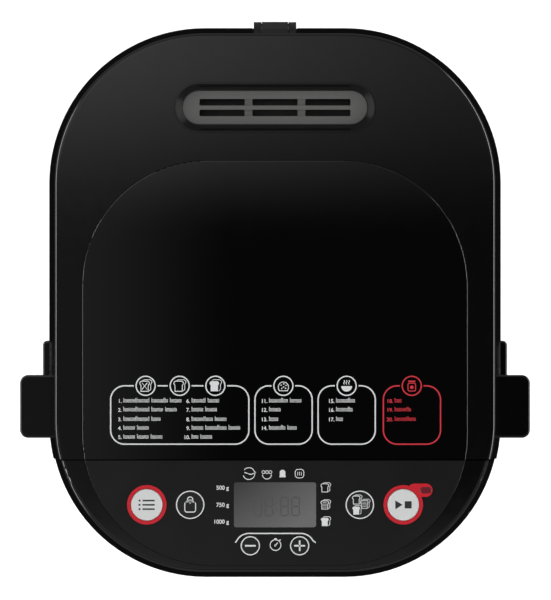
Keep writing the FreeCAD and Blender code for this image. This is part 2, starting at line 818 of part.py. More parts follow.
def make_lid_panel():
    sheet_body = arch("lid_panel_sheet", "panel_gap", "panel_floor", "panel_thick")
    soften(sheet_body, "panel_edge_round", level("top_height"))
    side = block("lid_panel_side", (FAR, FAR, TALL), ("0", f"seam_y + seam_gap / 2 + {FAR} / 2"), "0")
    node("lid_panel", common("lid_panel_cut", sheet_body, side))


def make_vent():
    bezel = stadium("bezel_body", "vent_length", "vent_width", ("0", "vent_y"),
                    "top_height - vent_depth - 1.5",
                    "vent_depth + 1.5")
    dish = stadium("bezel_dish", "vent_length - 1.6", "vent_width - 1.6", ("0", "vent_y"), "top_height",
                   "vent_depth - grille_thick", "36", down=True)
    seat = stadium("bezel_seat", "grille_length + 0.2", "grille_width + 0.2", ("0", "vent_y"),
                   "top_height - vent_depth", "vent_depth")
    throat = stadium("bezel_throat", "grille_length - 4", "grille_width - 4", ("0", "vent_y"),
                     "top_height - vent_depth - 3", "vent_depth")
    node("vent_bezel", cut("vent_bezel_cut", bezel, dish, seat, throat))
    face = stadium("grille_face", "grille_length", "grille_width", ("0", "vent_y"),
                   "top_height - vent_depth", "grille_thick")
    soften(face, "0.5", level("top_height - vent_depth + grille_thick"))
    slots = []
    for row in (-1, 1):
        row_y = f"vent_y + {row} * vent_row_pitch / 2"
        slots.append(rounded(f"vent_channel{row + 1}",
                             ("2 * vent_slot_pitch + vent_slot_length", "vent_slot_width"), "0.8",
                             ("0", row_y), "top_height - vent_depth + vent_rib_thick", "5"))
        for column in (-1, 0, 1):
            slots.append(rounded(f"vent_slot{column + 1}_{row + 1}",
                                 ("vent_slot_length", "vent_slot_width"), "0.8",
                                 (f"{column} * vent_slot_pitch", row_y),
                                 "top_height - vent_depth - 1", "5"))
    node("vent_grille", cut("vent_grille_cut", face, *slots))


def make_lid_liner():
    rim = outline("liner_rim", "wall + fit_gap - lid_overhang + liner_edge_gap", "liner_base", "liner_wall")
    side = block("liner_side", (FAR, FAR, TALL),
                 ("0", f"seam_y + seam_gap / 2 + wall + fit_gap + {FAR} / 2"), "0")
    flange = common("liner_flange", rim, side)
    dome = rounded("liner_dome", ("cavity_width + 2 * liner_wall", "cavity_depth + 2 * liner_wall"),
                   "chamber_round + liner_wall", ("0", "chamber_y"), "liner_base", "cavity_top - liner_base")
    cavity = rounded("liner_cavity", ("cavity_width", "cavity_depth"), "chamber_round", ("0", "chamber_y"),
                     "liner_base - 1", "cavity_top - liner_base - liner_wall + 1")
    tools = [cavity]
    for slot in range(-5, 6):
        tools.append(block(f"steam_hole{slot + 5}", ("6", "10", "9"),
                           (f"{slot * 9}", "chamber_y + chamber_depth / 2 - 12"),
                           "cavity_top - 5"))
    for index, (x_side, row) in enumerate(LID_POSTS):
        tools.append(rod(f"liner_hole{index}", "screw_radius + 0.3", "9",
                         (f"{x_side} * lid_post_x", row, "liner_base - 3")))
    node("lid_liner", cut("lid_liner_cut", join("liner_body", flange, dome), *tools))
    reflector = rounded("reflector_sheet",
                        ("cavity_width - 2 * reflector_margin", "cavity_depth - 4 * reflector_margin"),
                        "chamber_round - 5", ("0", "chamber_y - reflector_margin"),
                        "cavity_top - liner_wall - reflector_thick", "reflector_thick")
    node("lid_reflector", reflector)
    screws = [screw(f"lid_screw{i}", f"{s} * lid_post_x", row, "liner_base") for i,
              (s, row) in enumerate(LID_POSTS)]
    node("lid_screws", group("lid_screw_group", screws))


def make_lid_handle(name, side):
    root = "body_side + lid_overhang"
    tab = rounded(name + "_tab", ("handle_reach + 12", "handle_length"), "handle_round",
                  (f"{side} * ({root} + (handle_reach - 12) / 2)", "handle_y"), "lid_base + handle_rise",
                  "handle_thick")
    soften(tab, "1.2", level("lid_base + handle_rise + handle_thick"))
    lid_side = outline(name + "_lid_side", "0 - lid_overhang", "lid_base", "top_height - lid_base",
                       "flank_lean")
    node(name, cut(name + "_cut", tab, lid_side))


# ---------------------------------------------------------------- controls

def make_control_panel():
    sheet_body = arch("overlay_sheet", "panel_gap", "panel_floor", "panel_thick")
    soften(sheet_body, "panel_edge_round", level("top_height"))
    front = cut("overlay_front", sheet_body, behind_seam("overlay_rear_cut"))
    tools = [rod(f"{name}_window", f"{radius} + key_gap", "10", (x, y, "panel_floor - 3"))
             for name, radius, x, y in KEYS]
    tools.append(rounded("display_window_hole", ("display_width + 0.2", "display_depth + 0.2"), "1.6",
                         ("0", "main_y"), "panel_floor - 3", "10"))
    tools.append(stadium("lamp_window", "lamp_length + 0.2", "lamp_width + 0.2",
                         ("outer_column + lamp_x", "main_y + lamp_y"), "panel_floor - 3", "10"))
    node("control_panel", cut("control_panel_cut", front, *tools))


def make_rings():
    start = ("outer_column", "main_y", "top_height")
    menu = ("-outer_column", "main_y", "top_height")
    node("menu_ring", tube("menu_ring_tube", "ring_radius", "main_key_radius + key_gap", "ring_height", menu))
    disc = rod("start_ring_disc", "ring_radius", "ring_height", start)
    tab_long = "lamp_x / 2 + 2 * lamp_tab_radius"
    tab = stadium("start_ring_tab", tab_long, "2 * lamp_tab_radius",
                  ("outer_column + lamp_x + lamp_tab_radius - (" + tab_long + ") / 2", "main_y + lamp_y"),
                  "top_height", "ring_height")
    bore = rod("start_ring_bore", "main_key_radius + key_gap", "5",
               ("outer_column", "main_y", "top_height - 1"))
    window = stadium("start_ring_window", "lamp_length + 0.2", "lamp_width + 0.2",
                     ("outer_column + lamp_x", "main_y + lamp_y"), "top_height - 1", "5")
    node("start_ring", cut("start_ring_cut", join("start_ring_body", disc, tab), bore, window))
    lens = stadium("lens_body", "lamp_length", "lamp_width", ("outer_column + lamp_x", "main_y + lamp_y"),
                   "board_top", "top_height + ring_height + 0.2 - board_top")
    soften(lens, "0.3", level("top_height + ring_height + 0.2"))
    node("indicator_lens", lens)


def make_button(name, radius, x, y):
    rise = "key_rise" if radius == "main_key_radius" else "flat_key_rise"
    cap_top = f"top_height + {rise}"
    profile = [
        ("0", "key_stem_base"), ("stem_radius", "key_stem_base"), ("stem_radius", "key_flange_base"),
        (f"{radius} + key_flange", "key_flange_base"), (f"{radius} + key_flange", "key_flange_top"),
        (radius, "key_flange_top"), (radius, f"{cap_top} - key_edge_round"),
        (f"{radius} - key_edge_round", cap_top), ("0", cap_top),
    ]
    node(name, turned(name + "_body", profile, (x, y)))


def make_display():
    window = rounded("window_body", ("display_width", "display_depth"), "1.5", ("0", "main_y"),
                     "panel_floor", "panel_thick")
    node("display_window", window)
    module = rounded("module_body", ("display_width + 3", "display_depth + 3"), "1", ("0", "main_y"),
                     "board_top", "top_plate_floor - board_top - 0.2")
    node("display_module", module)
    board = arch("board_body", "board_margin", "board_top - board_thick", "board_thick")
    side = block("board_side", (FAR, FAR, TALL), ("0", f"seam_y - seam_gap / 2 - wall - 1 - {FAR} / 2"), "0")
    node("display_board", common("board_cut", board, side))
    switches = []
    for index, (name, radius, x, y) in enumerate(KEYS):
        case = block(f"switch_case{index}", ("switch_size", "switch_size", "switch_tall"), (x, y),
                     "board_top")
        plunger = rod(f"switch_plunger{index}", "plunger_radius", "plunger_tall + 0.5",
                      (x, y, "board_top + switch_tall - 0.5"))
        switches.append(join(f"switch{index}", case, plunger))
    node("key_switches", group("switch_group", switches))


# ---------------------------------------------------------------- oven chamber

def make_chamber():
    size = ("chamber_width + 2 * sheet", "chamber_depth + 2 * sheet")
    centre = ("0", "chamber_y")
    box = rounded("chamber_box", size, "chamber_round + sheet", centre, "chamber_floor",
                  "deck_top - chamber_floor")
    brim = rounded("chamber_brim", (f"{size[0]} + 2 * chamber_flange", f"{size[1]} + 2 * chamber_flange"),
                   "chamber_round + sheet + chamber_flange", centre, "deck_top", "sheet")
    inside = rounded("chamber_inside", ("chamber_width", "chamber_depth"), "chamber_round", centre,
                     "chamber_floor + sheet", "deck_top - chamber_floor + 5")
    tools = [inside,
             rod("chamber_shaft_hole", "drive_shaft_radius + 3", "9",
                 ("0", "chamber_y", "chamber_floor - 3"))]
    for index, side in enumerate((-1, 1)):
        tools.append(rod(f"chamber_bush_hole{index}", "bush_radius + 0.05", "9",
                         ("chamber_wall_x - 4", f"chamber_y + {side} * heater_gap / 2", "heater_level"), "X"))
    tools.append(rod("chamber_sensor_hole", "sensor_radius + 0.05", "9",
                     ("sensor_x", "chamber_y - chamber_depth / 2 - 5", "sensor_height"), "Y"))
    node("chamber_liner", cut("chamber_cut", join("chamber_body", box, brim), *tools))


def make_pan_seat():
    inner = "skirt_radius + seat_gap"
    outer = f"{inner} + seat_wall"
    floor = "chamber_floor + sheet"
    profile = [(inner, floor), (f"{outer} + 8", floor), (f"{outer} + 8", f"{floor} + 1.2"),
               (outer, f"{floor} + 1.2"),
               (outer, f"{floor} + seat_tall"), (inner, f"{floor} + seat_tall")]
    node("pan_seat", turned("seat_ring", profile, ("0", "chamber_y")))


def heater_path():
    """Loop round the pan, open at the right, whose two legs leave through the chamber wall."""
    half_x, half_y = measure("heater_width / 2"), measure("heater_depth / 2")
    bend, gap = measure("heater_bend"), measure("heater_gap / 2")
    middle, z = measure("chamber_y"), measure("heater_level")
    leg, end = 9.0, measure("chamber_wall_x + bush_long")
    side = half_x - leg
    turn = bend * (1 - math.sqrt(0.5))
    curl = leg * (1 - math.sqrt(0.5))

    def at(x, y):
        return Vector(x, middle + y, z)

    edges = [Part.LineSegment(at(end, gap), at(side + leg, gap)).toShape()]
    edges.append(Part.Arc(at(side + leg, gap), at(side + curl, gap + curl), at(side, gap + leg)).toShape())
    edges.append(Part.LineSegment(at(side, gap + leg), at(side, half_y - bend)).toShape())
    edges.append(Part.Arc(at(side, half_y - bend), at(side - turn, half_y - turn),
                          at(side - bend, half_y)).toShape())
    edges.append(Part.LineSegment(at(side - bend, half_y), at(bend - side, half_y)).toShape())
    edges.append(Part.Arc(at(bend - side, half_y), at(turn - side, half_y - turn),
                          at(-side, half_y - bend)).toShape())
    edges.append(Part.LineSegment(at(-side, half_y - bend), at(-side, bend - half_y)).toShape())
    edges.append(Part.Arc(at(-side, bend - half_y), at(turn - side, turn - half_y),
                          at(bend - side, -half_y)).toShape())
    edges.append(Part.LineSegment(at(bend - side, -half_y), at(side - bend, -half_y)).toShape())
    edges.append(Part.Arc(at(side - bend, -half_y), at(side - turn, turn - half_y),
                          at(side, bend - half_y)).toShape())
    edges.append(Part.LineSegment(at(side, bend - half_y), at(side, -gap - leg)).toShape())
    edges.append(Part.Arc(at(side, -gap - leg), at(side + curl, -gap - curl), at(side + leg, -gap)).toShape())
    edges.append(Part.LineSegment(at(side + leg, -gap), at(end, -gap)).toShape())
    return Part.Wire(edges), at(end, gap)


def make_heater():
    path, start = heater_path()
    section = Part.Wire([Part.Circle(start, Vector(1, 0, 0), measure("heater_wire")).toShape()])
    element = doc.addObject("Part::Feature", "heating_tube")
    element.Shape = path.makePipeShell([section], True, False)
    node("heating_element", element)
    bushes = []
    for index, side in enumerate((-1, 1)):
        start = ("chamber_wall_x - bush_long / 3", f"chamber_y + {side} * heater_gap / 2", "heater_level")
        bushes.append(tube(f"bush{index}", "bush_radius", "heater_wire + 0.05", "bush_long", start, "X"))
    node("heater_insulators", group("bush_group", bushes))
    clips = []
    floor = "chamber_floor + sheet"
    for index, (x, y, size) in enumerate((
            ("0", "chamber_y + heater_depth / 2", ("clip_width", "11")),
            ("0", "chamber_y - heater_depth / 2", ("clip_width", "11")),
            ("9 - heater_side", "chamber_y", ("11", "clip_width")))):
        body = block(f"clip_body{index}", (*size, f"heater_level + 5 - chamber_floor - sheet"), (x, y), floor)
        along = "Y" if index == 2 else "X"
        begin = (x, f"{y} - clip_width", "heater_level") if along == "Y" else (f"{x} - clip_width", y,
                "heater_level")
        clips.append(cut(f"clip{index}", body,
                         rod(f"clip_bore{index}", "heater_wire + 0.1", "2 * clip_width", begin, along)))
    node("heater_clips", group("clip_group", clips))


def make_sensor():
    wall_y = "chamber_y - chamber_depth / 2"
    probe = rod("sensor_probe", "sensor_radius", "14", ("sensor_x", f"{wall_y} - 6", "sensor_height"), "Y")
    collar = rod("sensor_collar", "sensor_radius + 3", "2.5",
                 ("sensor_x", f"{wall_y} - sheet - 2.5", "sensor_height"), "Y")
    node("temperature_sensor", join("sensor_body", probe, collar))


# ---------------------------------------------------------------- chassis and drive

def make_chassis():
    deck = block("chassis_deck", ("2 * chassis_half_width", "chassis_rear - chassis_front", "chassis_thick"),
                 ("0", "(chassis_rear + chassis_front) / 2"), "chassis_height")
    pieces = [deck]
    for index, (side, y) in enumerate(((-1, "-90"), (1, "-90"), (-1, "40"), (1, "40"))):
        x = f"{side} * (chassis_half_width - chassis_thick / 2)"
        pieces.append(block(f"chassis_leg{index}",
                            ("chassis_thick", "30", "chassis_height - base_top + 0.5"), (x, y),
                            "base_top"))
        pieces.append(block(f"chassis_foot{index}", ("14", "30", "chassis_thick"),
                            (f"{side} * (chassis_half_width + 7 - chassis_thick)", y), "base_top"))
    tools = [rod("chassis_shaft_hole", "bearing_radius + 0.1", "9", ("0", "chamber_y", "chassis_height - 3")),
             rod("chassis_motor_hole", "12", "9", ("motor_x", "motor_y", "chassis_height - 3"))]
    for index in range(4):
        pieces.append(rod(f"board_pillar{index}", "3", "power_level - chassis_top + 0.2",
                          (*power_corner(index), "chassis_top - 0.2")))
    node("chassis", cut("chassis_cut", join("chassis_body", *pieces), *tools))


def power_corner(index):
    side, row = BOSS_SPOTS[index]
    return f"power_x + {side} * (power_width / 2 - 5)", f"power_y + {row} * (power_depth / 2 - 5)"


def make_bearing_housing():
    profile = [
        ("drive_shaft_radius + running_gap", "chassis_height - 4"), ("bearing_radius", "chassis_height - 4"),
        ("bearing_radius", "chassis_top"), ("bearing_flange", "chassis_top"),
        ("bearing_flange", "chassis_top + 3"), ("bearing_radius", "chassis_top + 6"),
        ("bearing_radius", "bearing_top"), ("drive_shaft_radius + running_gap", "bearing_top"),
    ]
    node("bearing_housing", turned("bearing_body", profile, ("0", "chamber_y")))


def pulley_profile(bore, radius):
    low, high = "belt_base - 0.3", "belt_base + belt_width + 0.3"
    edge = f"{radius} + pulley_flange"
    return [(bore, f"{low} - pulley_side"), (edge, f"{low} - pulley_side"), (edge, low), (radius, low),
            (radius, high), (edge, high), (edge, f"{high} + pulley_side"), (bore, f"{high} + pulley_side")]


def make_drive():
    middle = ("0", "chamber_y")
    wheel = turned("big_pulley_body", pulley_profile("drive_shaft_radius", "big_pulley_radius"), middle)
    lightening = []
    for index in range(6):
        angle = f"{index * 60}"
        lightening.append(rod(f"pulley_hole{index}", "9", "30",
                              (f"27 * cos({angle})", f"chamber_y + 27 * sin({angle})", "10")))
    node("large_pulley", cut("large_pulley_cut", wheel, *lightening))
    node("drive_shaft",
         rod("drive_shaft_rod", "drive_shaft_radius", "dog_base + dog_plate - drive_shaft_base",
                            (*middle, "drive_shaft_base")))
    disc = tube("dog_disc", "dog_radius", "drive_shaft_radius", "dog_plate", (*middle, "dog_base"))
    reach = "dog_radius - drive_shaft_radius - 3"
    teeth = []
    for side in (-1, 1):
        teeth.append(block(f"dog_tooth{side + 1}", (reach, "dog_width", "dog_tall + 0.5"),
                           (f"{side} * (dog_radius - ({reach}) / 2 - 1)", "chamber_y"),
                           "dog_base + dog_plate - 0.5"))
    node("lower_coupling", join("lower_coupling_body", disc, *teeth))


def make_motor():
    place = ("motor_x", "motor_y")
    can = turned("motor_can", [
        ("knead_shaft_radius + running_gap", "motor_base"), ("motor_radius - 4", "motor_base"),
        ("motor_radius", "motor_base + 6"), ("motor_radius", "motor_top - 6"),
        ("motor_radius - 4", "motor_top"), ("knead_shaft_radius + running_gap", "motor_top")], place)
    feet = block("motor_flange", ("2 * mount_spread + 14", "2 * mount_spread + 14", "3"), place, "motor_base")
    bore = rod("motor_bore", "knead_shaft_radius + running_gap", "motor_tall + 20",
               (*place, "motor_base - 10"))
    node("motor_body", cut("motor_body_cut", join("motor_body_all", can, feet), bore))
    mounts = []
    for index, (side, row) in enumerate(BOSS_SPOTS):
        spot = (f"motor_x + {side} * mount_spread", f"motor_y + {row} * mount_spread", "chassis_top")
        mounts.append(rod(f"mount{index}", "mount_radius", "motor_base - chassis_top", spot))
    node("motor_mounts", group("mount_group", mounts))
    fan_base = "motor_top + 2"
    node("motor_shaft",
         rod("motor_shaft_rod", "knead_shaft_radius", f"{fan_base} + fan_tall - drive_shaft_base",
                            (*place, "drive_shaft_base")))
    node("motor_pulley",
         turned("small_pulley_body", pulley_profile("knead_shaft_radius", "small_pulley_radius"), place))
    hub = tube("fan_hub_tube", "fan_hub", "knead_shaft_radius", "fan_tall", (*place, fan_base))
    blades = []
    for index in range(8):
        blade = doc.addObject("Part::Box", f"fan_blade{index}")
        bind(blade, Length="fan_radius - fan_hub + 1", Width="1.2", Height="fan_tall")
        turn = FreeCAD.Rotation(Vector(0, 0, 1), index * 45)
        blade.Placement = FreeCAD.Placement(Vector(), turn)
        angle = f"{index * 45}"
        move(blade, f"motor_x + (fan_hub - 1) * cos({angle})", f"motor_y + (fan_hub - 1) * sin({angle})",
             fan_base)
        blades.append(blade)
    node("motor_fan", join("fan_body", hub, *blades))


def loop_face(big, small, grow):
    """The flat shape round two circles, each (x, y, radius), grown outwards."""
    (x1, y1, r1), (x2, y2, r2) = big, small
    r1, r2 = r1 + grow, r2 + grow
    heading = math.atan2(y2 - y1, x2 - x1)
    spread = math.acos((r1 - r2) / math.hypot(x2 - x1, y2 - y1))

    def on(x, y, r, angle):
        return Vector(x + r * math.cos(angle), y + r * math.sin(angle), 0)

    a1, a2 = on(x1, y1, r1, heading + spread), on(x1, y1, r1, heading - spread)
    b1, b2 = on(x2, y2, r2, heading + spread), on(x2, y2, r2, heading - spread)
    edges = [
        Part.Arc(a1, on(x1, y1, r1, heading + math.pi), a2).toShape(),
        Part.LineSegment(a2, b2).toShape(),
        Part.Arc(b2, on(x2, y2, r2, heading), b1).toShape(),
        Part.LineSegment(b1, a1).toShape(),
    ]
    return Part.Face(Part.Wire(edges))


def make_belt():
    big = (0.0, measure("chamber_y"), measure("big_pulley_radius"))
    small = (measure("motor_x"), measure("motor_y"), measure("small_pulley_radius"))
    gap, thick = measure("belt_gap"), measure("belt_thick")
    ring = loop_face(big, small, gap + thick).cut(loop_face(big, small, gap))
    belt = doc.addObject("Part::Feature", "belt_loop")
    belt.Shape = ring.extrude(Vector(0, 0, measure("belt_width")))
    belt.Placement = FreeCAD.Placement(Vector(0, 0, measure("belt_base")), FreeCAD.Rotation())
    node("drive_belt", belt)


# ---------------------------------------------------------------- electrics

def make_power_board():
    node("power_board", rounded("power_sheet", ("power_width", "power_depth"), "2", ("power_x", "power_y"),
                                "power_level", "board_thick"))
    pieces = [
        block("transformer", ("26", "22", "20"), ("power_x - 18", "power_y - 10"), "power_top"),
        block("relay", ("16", "12", "15"), ("power_x + 10", "power_y - 16"), "power_top"),
        block("heat_sink", ("24", "6", "24"), ("power_x + 18", "power_y + 18"), "power_top"),
        block("connector", ("20", "6", "9"), ("power_x - 16", "power_y + 18"), "power_top"),
    ]
    for index in range(3):
        pieces.append(rod(f"capacitor{index}", "5", "16",
                          (f"power_x + {index * 13 + 2}", "power_y + 2", "power_top")))
    node("board_components", group("component_group", pieces))


def make_gland():
    wall_y = "rear_face - (housing_top - gland_height) * tan(body_lean)"
    body = block("gland_body", ("gland_side", "gland_length", "gland_side"),
                 ("gland_x", f"{wall_y} + gland_rim - gland_length / 2"), "gland_height - gland_side / 2")
    collar = rod("gland_collar_disc", "gland_collar", "gland_rim", ("gland_x", wall_y, "gland_height"), "Y")
    nut = rod("gland_nut", "gland_collar", "3", ("gland_x", f"{wall_y} - wall - 3.6", "gland_height"), "Y")
    bore = rod("gland_bore_rod", "gland_bore", "40", ("gland_x", f"{wall_y} - 30", "gland_height"), "Y")
    trim = outline("gland_trim", "0", "housing_top", "housing_top - foot_height", "body_lean", down=True)
    rim = cut("gland_rim_trimmed", collar, trim)
    node("cord_gland", cut("cord_gland_cut", join("gland_all", body, rim, nut), bore))


# ---------------------------------------------------------------- pan

def make_pan():
    centre = ("0", "chamber_y")
    lean = "atan(pan_draft / (pan_rim - pan_bottom))"
    foot = ("pan_width - 2 * pan_draft", "pan_depth - 2 * pan_draft")
    outer = rounded("pan_outer", foot, "pan_round - pan_draft", centre, "pan_bottom",
                    "pan_rim - pan_bottom", f"-1 * {lean}")
    soften(outer, "5", level("pan_bottom"))
    hollow = rounded("pan_hollow", (f"{foot[0]} - 2 * pan_wall", f"{foot[1]} - 2 * pan_wall"),
                     "pan_round - pan_draft - pan_wall", centre, "pan_bottom + pan_wall",
                     "pan_rim - pan_bottom",
                     f"-1 * {lean}")
    soften(hollow, "4", level("pan_bottom + pan_wall"))
    rim = rounded("pan_rim_band", ("pan_width + 2 * rim_reach", "pan_depth + 2 * rim_reach"),
                  "pan_round + rim_reach",
                  centre, "pan_rim - rim_tall", "rim_tall")
    bore = rod("pan_shaft_hole", "pan_hub_radius + 0.02", "20", (*centre, "pan_bottom - 5"))
    node("bread_pan", cut("bread_pan_cut", join("pan_solid", outer, rim), hollow, bore))


def make_pan_ears():
    ears = []
    for side in (-1, 1):
        strap = block(f"ear_strap{side + 1}", ("ear_thick", "ear_width", "ear_drop + 4"),
                      (f"{side} * (ear_x + ear_thick / 2)", "chamber_y"), "pan_rim - ear_drop")
        crown = rod(f"ear_crown{side + 1}", "ear_width / 3", "ear_thick",
                    (f"{side} * (ear_x + ear_thick / 2) - ear_thick / 2", "chamber_y", "pivot_height"), "X")
        foot_block = block(f"ear_foot{side + 1}", ("rim_reach + fit_gap - 1", "ear_width", "5"),
                           (f"{side} * (ear_x - (rim_reach + fit_gap - 1) / 2 )", "chamber_y"),
                           "pan_rim - ear_drop")
        hole = rod(f"ear_hole{side + 1}", "bail_wire + running_gap", "12",
                   (f"{side} * ear_x - 6", "chamber_y", "pivot_height"), "X")
        ears.append(cut(f"ear{side + 1}", join(f"ear_body{side + 1}", strap, crown, foot_block), hole,
                        pan_fill(side)))
    node("pan_ears", group("ear_group", ears))


def pan_fill(side):
    """The pan's outer solid again, to trim what is fastened to its sloping wall."""
    lean = "atan(pan_draft / (pan_rim - pan_bottom))"
    return rounded(f"pan_fill{side + 1}", ("pan_width - 2 * pan_draft", "pan_depth - 2 * pan_draft"),
                   "pan_round - pan_draft", ("0", "chamber_y"), "pan_bottom", "pan_rim - pan_bottom",
                   f"-1 * {lean}")


def make_bail():
    """Wire handle lying back on the rim, with its two ends bent out through the ears."""
    z, middle = measure("pivot_height"), measure("chamber_y")
    pivot = measure("ear_x + ear_thick + 1.5")
    reach, bend, hook = measure("bail_radius"), measure("bail_bend"), measure("bail_hook")
    inner = measure("ear_x - bail_hook - 1")

    def at(x, y):
        return Vector(x, middle + y, z)

    def corner(x, y, radius, sx, sy):
        """Rounded corner at (x, y): from the leg, towards the middle."""
        slack = radius * (1 - math.sqrt(0.5))
        return at(x - sx * slack, y - sy * slack)

    edges = []
    edges.append(Part.LineSegment(at(pivot, 0), at(inner + hook, 0)).toShape())
    edges.append(Part.Arc(at(inner + hook, 0), corner(inner, 0, hook, -1, -1), at(inner, hook)).toShape())
    edges.append(Part.LineSegment(at(inner, hook), at(inner, reach - bend)).toShape())
    edges.append(Part.Arc(at(inner, reach - bend), corner(inner, reach, bend, 1, 1),
                          at(inner - bend, reach)).toShape())
    edges.append(Part.LineSegment(at(inner - bend, reach), at(bend - inner, reach)).toShape())
    edges.append(Part.Arc(at(bend - inner, reach), corner(-inner, reach, bend, -1, 1),
                          at(-inner, reach - bend)).toShape())
    edges.append(Part.LineSegment(at(-inner, reach - bend), at(-inner, hook)).toShape())
    edges.append(Part.Arc(at(-inner, hook), corner(-inner, 0, hook, 1, -1), at(-inner - hook, 0)).toShape())
    edges.append(Part.LineSegment(at(-inner - hook, 0), at(-pivot, 0)).toShape())
    section = Part.Wire([Part.Circle(at(pivot, 0), Vector(1, 0, 0), measure("bail_wire")).toShape()])
    bail = doc.addObject("Part::Feature", "bail_wire_sweep")
    bail.Shape = Part.Wire(edges).makePipeShell([section], True, False)
    node("bail_handle", bail)


def make_pan_base():
    middle = ("0", "chamber_y")
    inner = "skirt_radius - skirt_wall"
    node("pan_skirt", turned("skirt_body", [
        (inner, "skirt_base"), ("skirt_radius", "skirt_base"), ("skirt_radius", "pan_bottom"),
        ("pan_hub_radius + 6", "pan_bottom"), ("pan_hub_radius + 6", "pan_bottom - skirt_wall"),
        (inner, "pan_bottom - skirt_wall")], middle))
    bore = "knead_shaft_radius + running_gap"
    floor = "pan_bottom + pan_wall"
    node("pan_bearing", turned("pan_bearing_body", [
        (bore, "pan_bottom - 1.8"), ("pan_hub_radius", "pan_bottom - 1.8"), ("pan_hub_radius", floor),
        ("pan_flange_radius", floor), ("pan_flange_radius - 1", f"{floor} + 1.6"),
        (bore, f"{floor} + 2.6")], middle))


def make_kneading():
    middle = ("0", "chamber_y")
    shaft = rod("knead_rod", "knead_shaft_radius", "knead_shaft_top - knead_shaft_base",
                (*middle, "knead_shaft_base"))
    flat_x = "knead_shaft_radius - 0.8"
    flat = block("knead_flat", ("10", "20", "60"), (f"{flat_x} + 5", "chamber_y"), "paddle_base")
    node("knead_shaft", cut("knead_shaft_cut", shaft, flat))
    wings = block("wing_bar", ("wing_width", "2 * dog_radius - 3", "wing_tall"), middle, "knead_shaft_base")
    hub = rod("wing_hub", "knead_shaft_radius + 2.4", "wing_tall", (*middle, "knead_shaft_base"))
    bore = rod("wing_bore", "knead_shaft_radius", "20", (*middle, "knead_shaft_base - 5"))
    node("upper_coupling", cut("upper_coupling_cut", join("wing_body", wings, hub), bore))
    paddle_hub = turned("paddle_hub", [
        ("0", "paddle_base"), ("8.5", "paddle_base"), ("7", "paddle_base + paddle_tall - 1"),
        ("6", "paddle_base + paddle_tall"), ("0", "paddle_base + paddle_tall")], middle)
    blade = plate("paddle_blade", [
        ("0", "paddle_base"), ("paddle_reach - 3", "paddle_base"), ("paddle_reach", "paddle_base + 3"),
        ("paddle_reach - 4", "paddle_base + paddle_tall * 0.8"),
        ("paddle_reach - 9", "paddle_base + paddle_tall"),
        ("10", "paddle_base + paddle_tall * 0.6"), ("0", "paddle_base + paddle_tall * 0.6")],
        "paddle_thick", "XZ_Plane", ("0", "chamber_y", "0"))
    soften(blade, "1.6", lambda box: box.YLength < 1e-4 and box.XMax > 12)
    round_bore = rod("paddle_bore", "knead_shaft_radius + running_gap", "40", (*middle, "paddle_base - 5"))
    flat_side = block("paddle_flat", ("10", "20", "60"), (f"{flat_x} + running_gap + 5", "chamber_y"),
                      "paddle_base - 10")
    d_bore = cut("paddle_d_bore", round_bore, flat_side)
    node("kneading_paddle", cut("paddle_cut", join("paddle_body", paddle_hub, blade), d_bore))


# ---------------------------------------------------------------- build

def build():
    make_lower_housing()
    make_carry_grip("carry_grip_left", -1)
    make_carry_grip("carry_grip_right", 1)
    make_top_frame()
    make_base_plate()
    make_rubber_feet()
    make_housing_screws()
    make_hinge()
    make_lid_shell()
    make_lid_panel()
    make_vent()
    make_lid_liner()
    make_lid_handle("lid_handle_left", -1)
    make_lid_handle("lid_handle_right", 1)
    make_control_panel()
    make_rings()
    for key in KEYS:
        make_button(*key)
    make_display()
    make_chamber()
    make_pan_seat()
    make_heater()
    make_sensor()
    make_chassis()
    make_bearing_housing()
    make_drive()
    make_motor()
    make_belt()
    make_power_board()
    make_gland()
    make_pan()
    make_pan_ears()
    make_bail()
    make_pan_base()
    make_kneading()
    doc.recompute()


def check_and_write():
    failed = [item.Label for item in doc.Objects if {"Invalid", "Error"} & set(item.State)]
    for name, thing in NODES.items():
        if thing.Shape.isNull() or not thing.Shape.isValid() or not thing.Shape.Solids:
            failed.append(name)
    if failed:
        raise RuntimeError("these did not build: " + ", ".join(failed))
    os.makedirs("parts", exist_ok=True)
    for name, thing in NODES.items():
        thing.Shape.exportStep(f"parts/{name}.step")
        print(name, len(thing.Shape.Solids), round(thing.Shape.Volume))


build()
check_and_write()
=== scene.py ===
"""Looks of the bread machine: finishes, printed marks, studio light and camera."""

import math

import bpy
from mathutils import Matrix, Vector


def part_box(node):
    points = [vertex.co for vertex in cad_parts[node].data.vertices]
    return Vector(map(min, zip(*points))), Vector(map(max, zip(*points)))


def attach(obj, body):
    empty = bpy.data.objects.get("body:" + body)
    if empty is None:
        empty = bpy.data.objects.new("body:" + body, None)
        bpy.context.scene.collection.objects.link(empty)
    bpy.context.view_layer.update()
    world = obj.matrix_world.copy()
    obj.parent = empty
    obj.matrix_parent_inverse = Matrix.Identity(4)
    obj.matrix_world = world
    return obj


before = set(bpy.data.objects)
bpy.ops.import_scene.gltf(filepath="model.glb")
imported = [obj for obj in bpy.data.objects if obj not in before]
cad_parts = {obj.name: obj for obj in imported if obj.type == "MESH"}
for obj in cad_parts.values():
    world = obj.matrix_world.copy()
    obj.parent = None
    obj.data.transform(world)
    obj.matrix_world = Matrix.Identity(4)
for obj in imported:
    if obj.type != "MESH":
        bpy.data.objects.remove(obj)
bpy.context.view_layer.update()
MM = 0.001


# ---------------------------------------------------------------- node trees

def srgb(red, green, blue):
    """An 8-bit display colour as the linear values that shaders take."""
    linear = []
    for level in (red, green, blue):
        share = level / 255
        linear.append(share / 12.92 if share <= 0.04045 else ((share + 0.055) / 1.055) ** 2.4)
    return (*linear, 1.0)


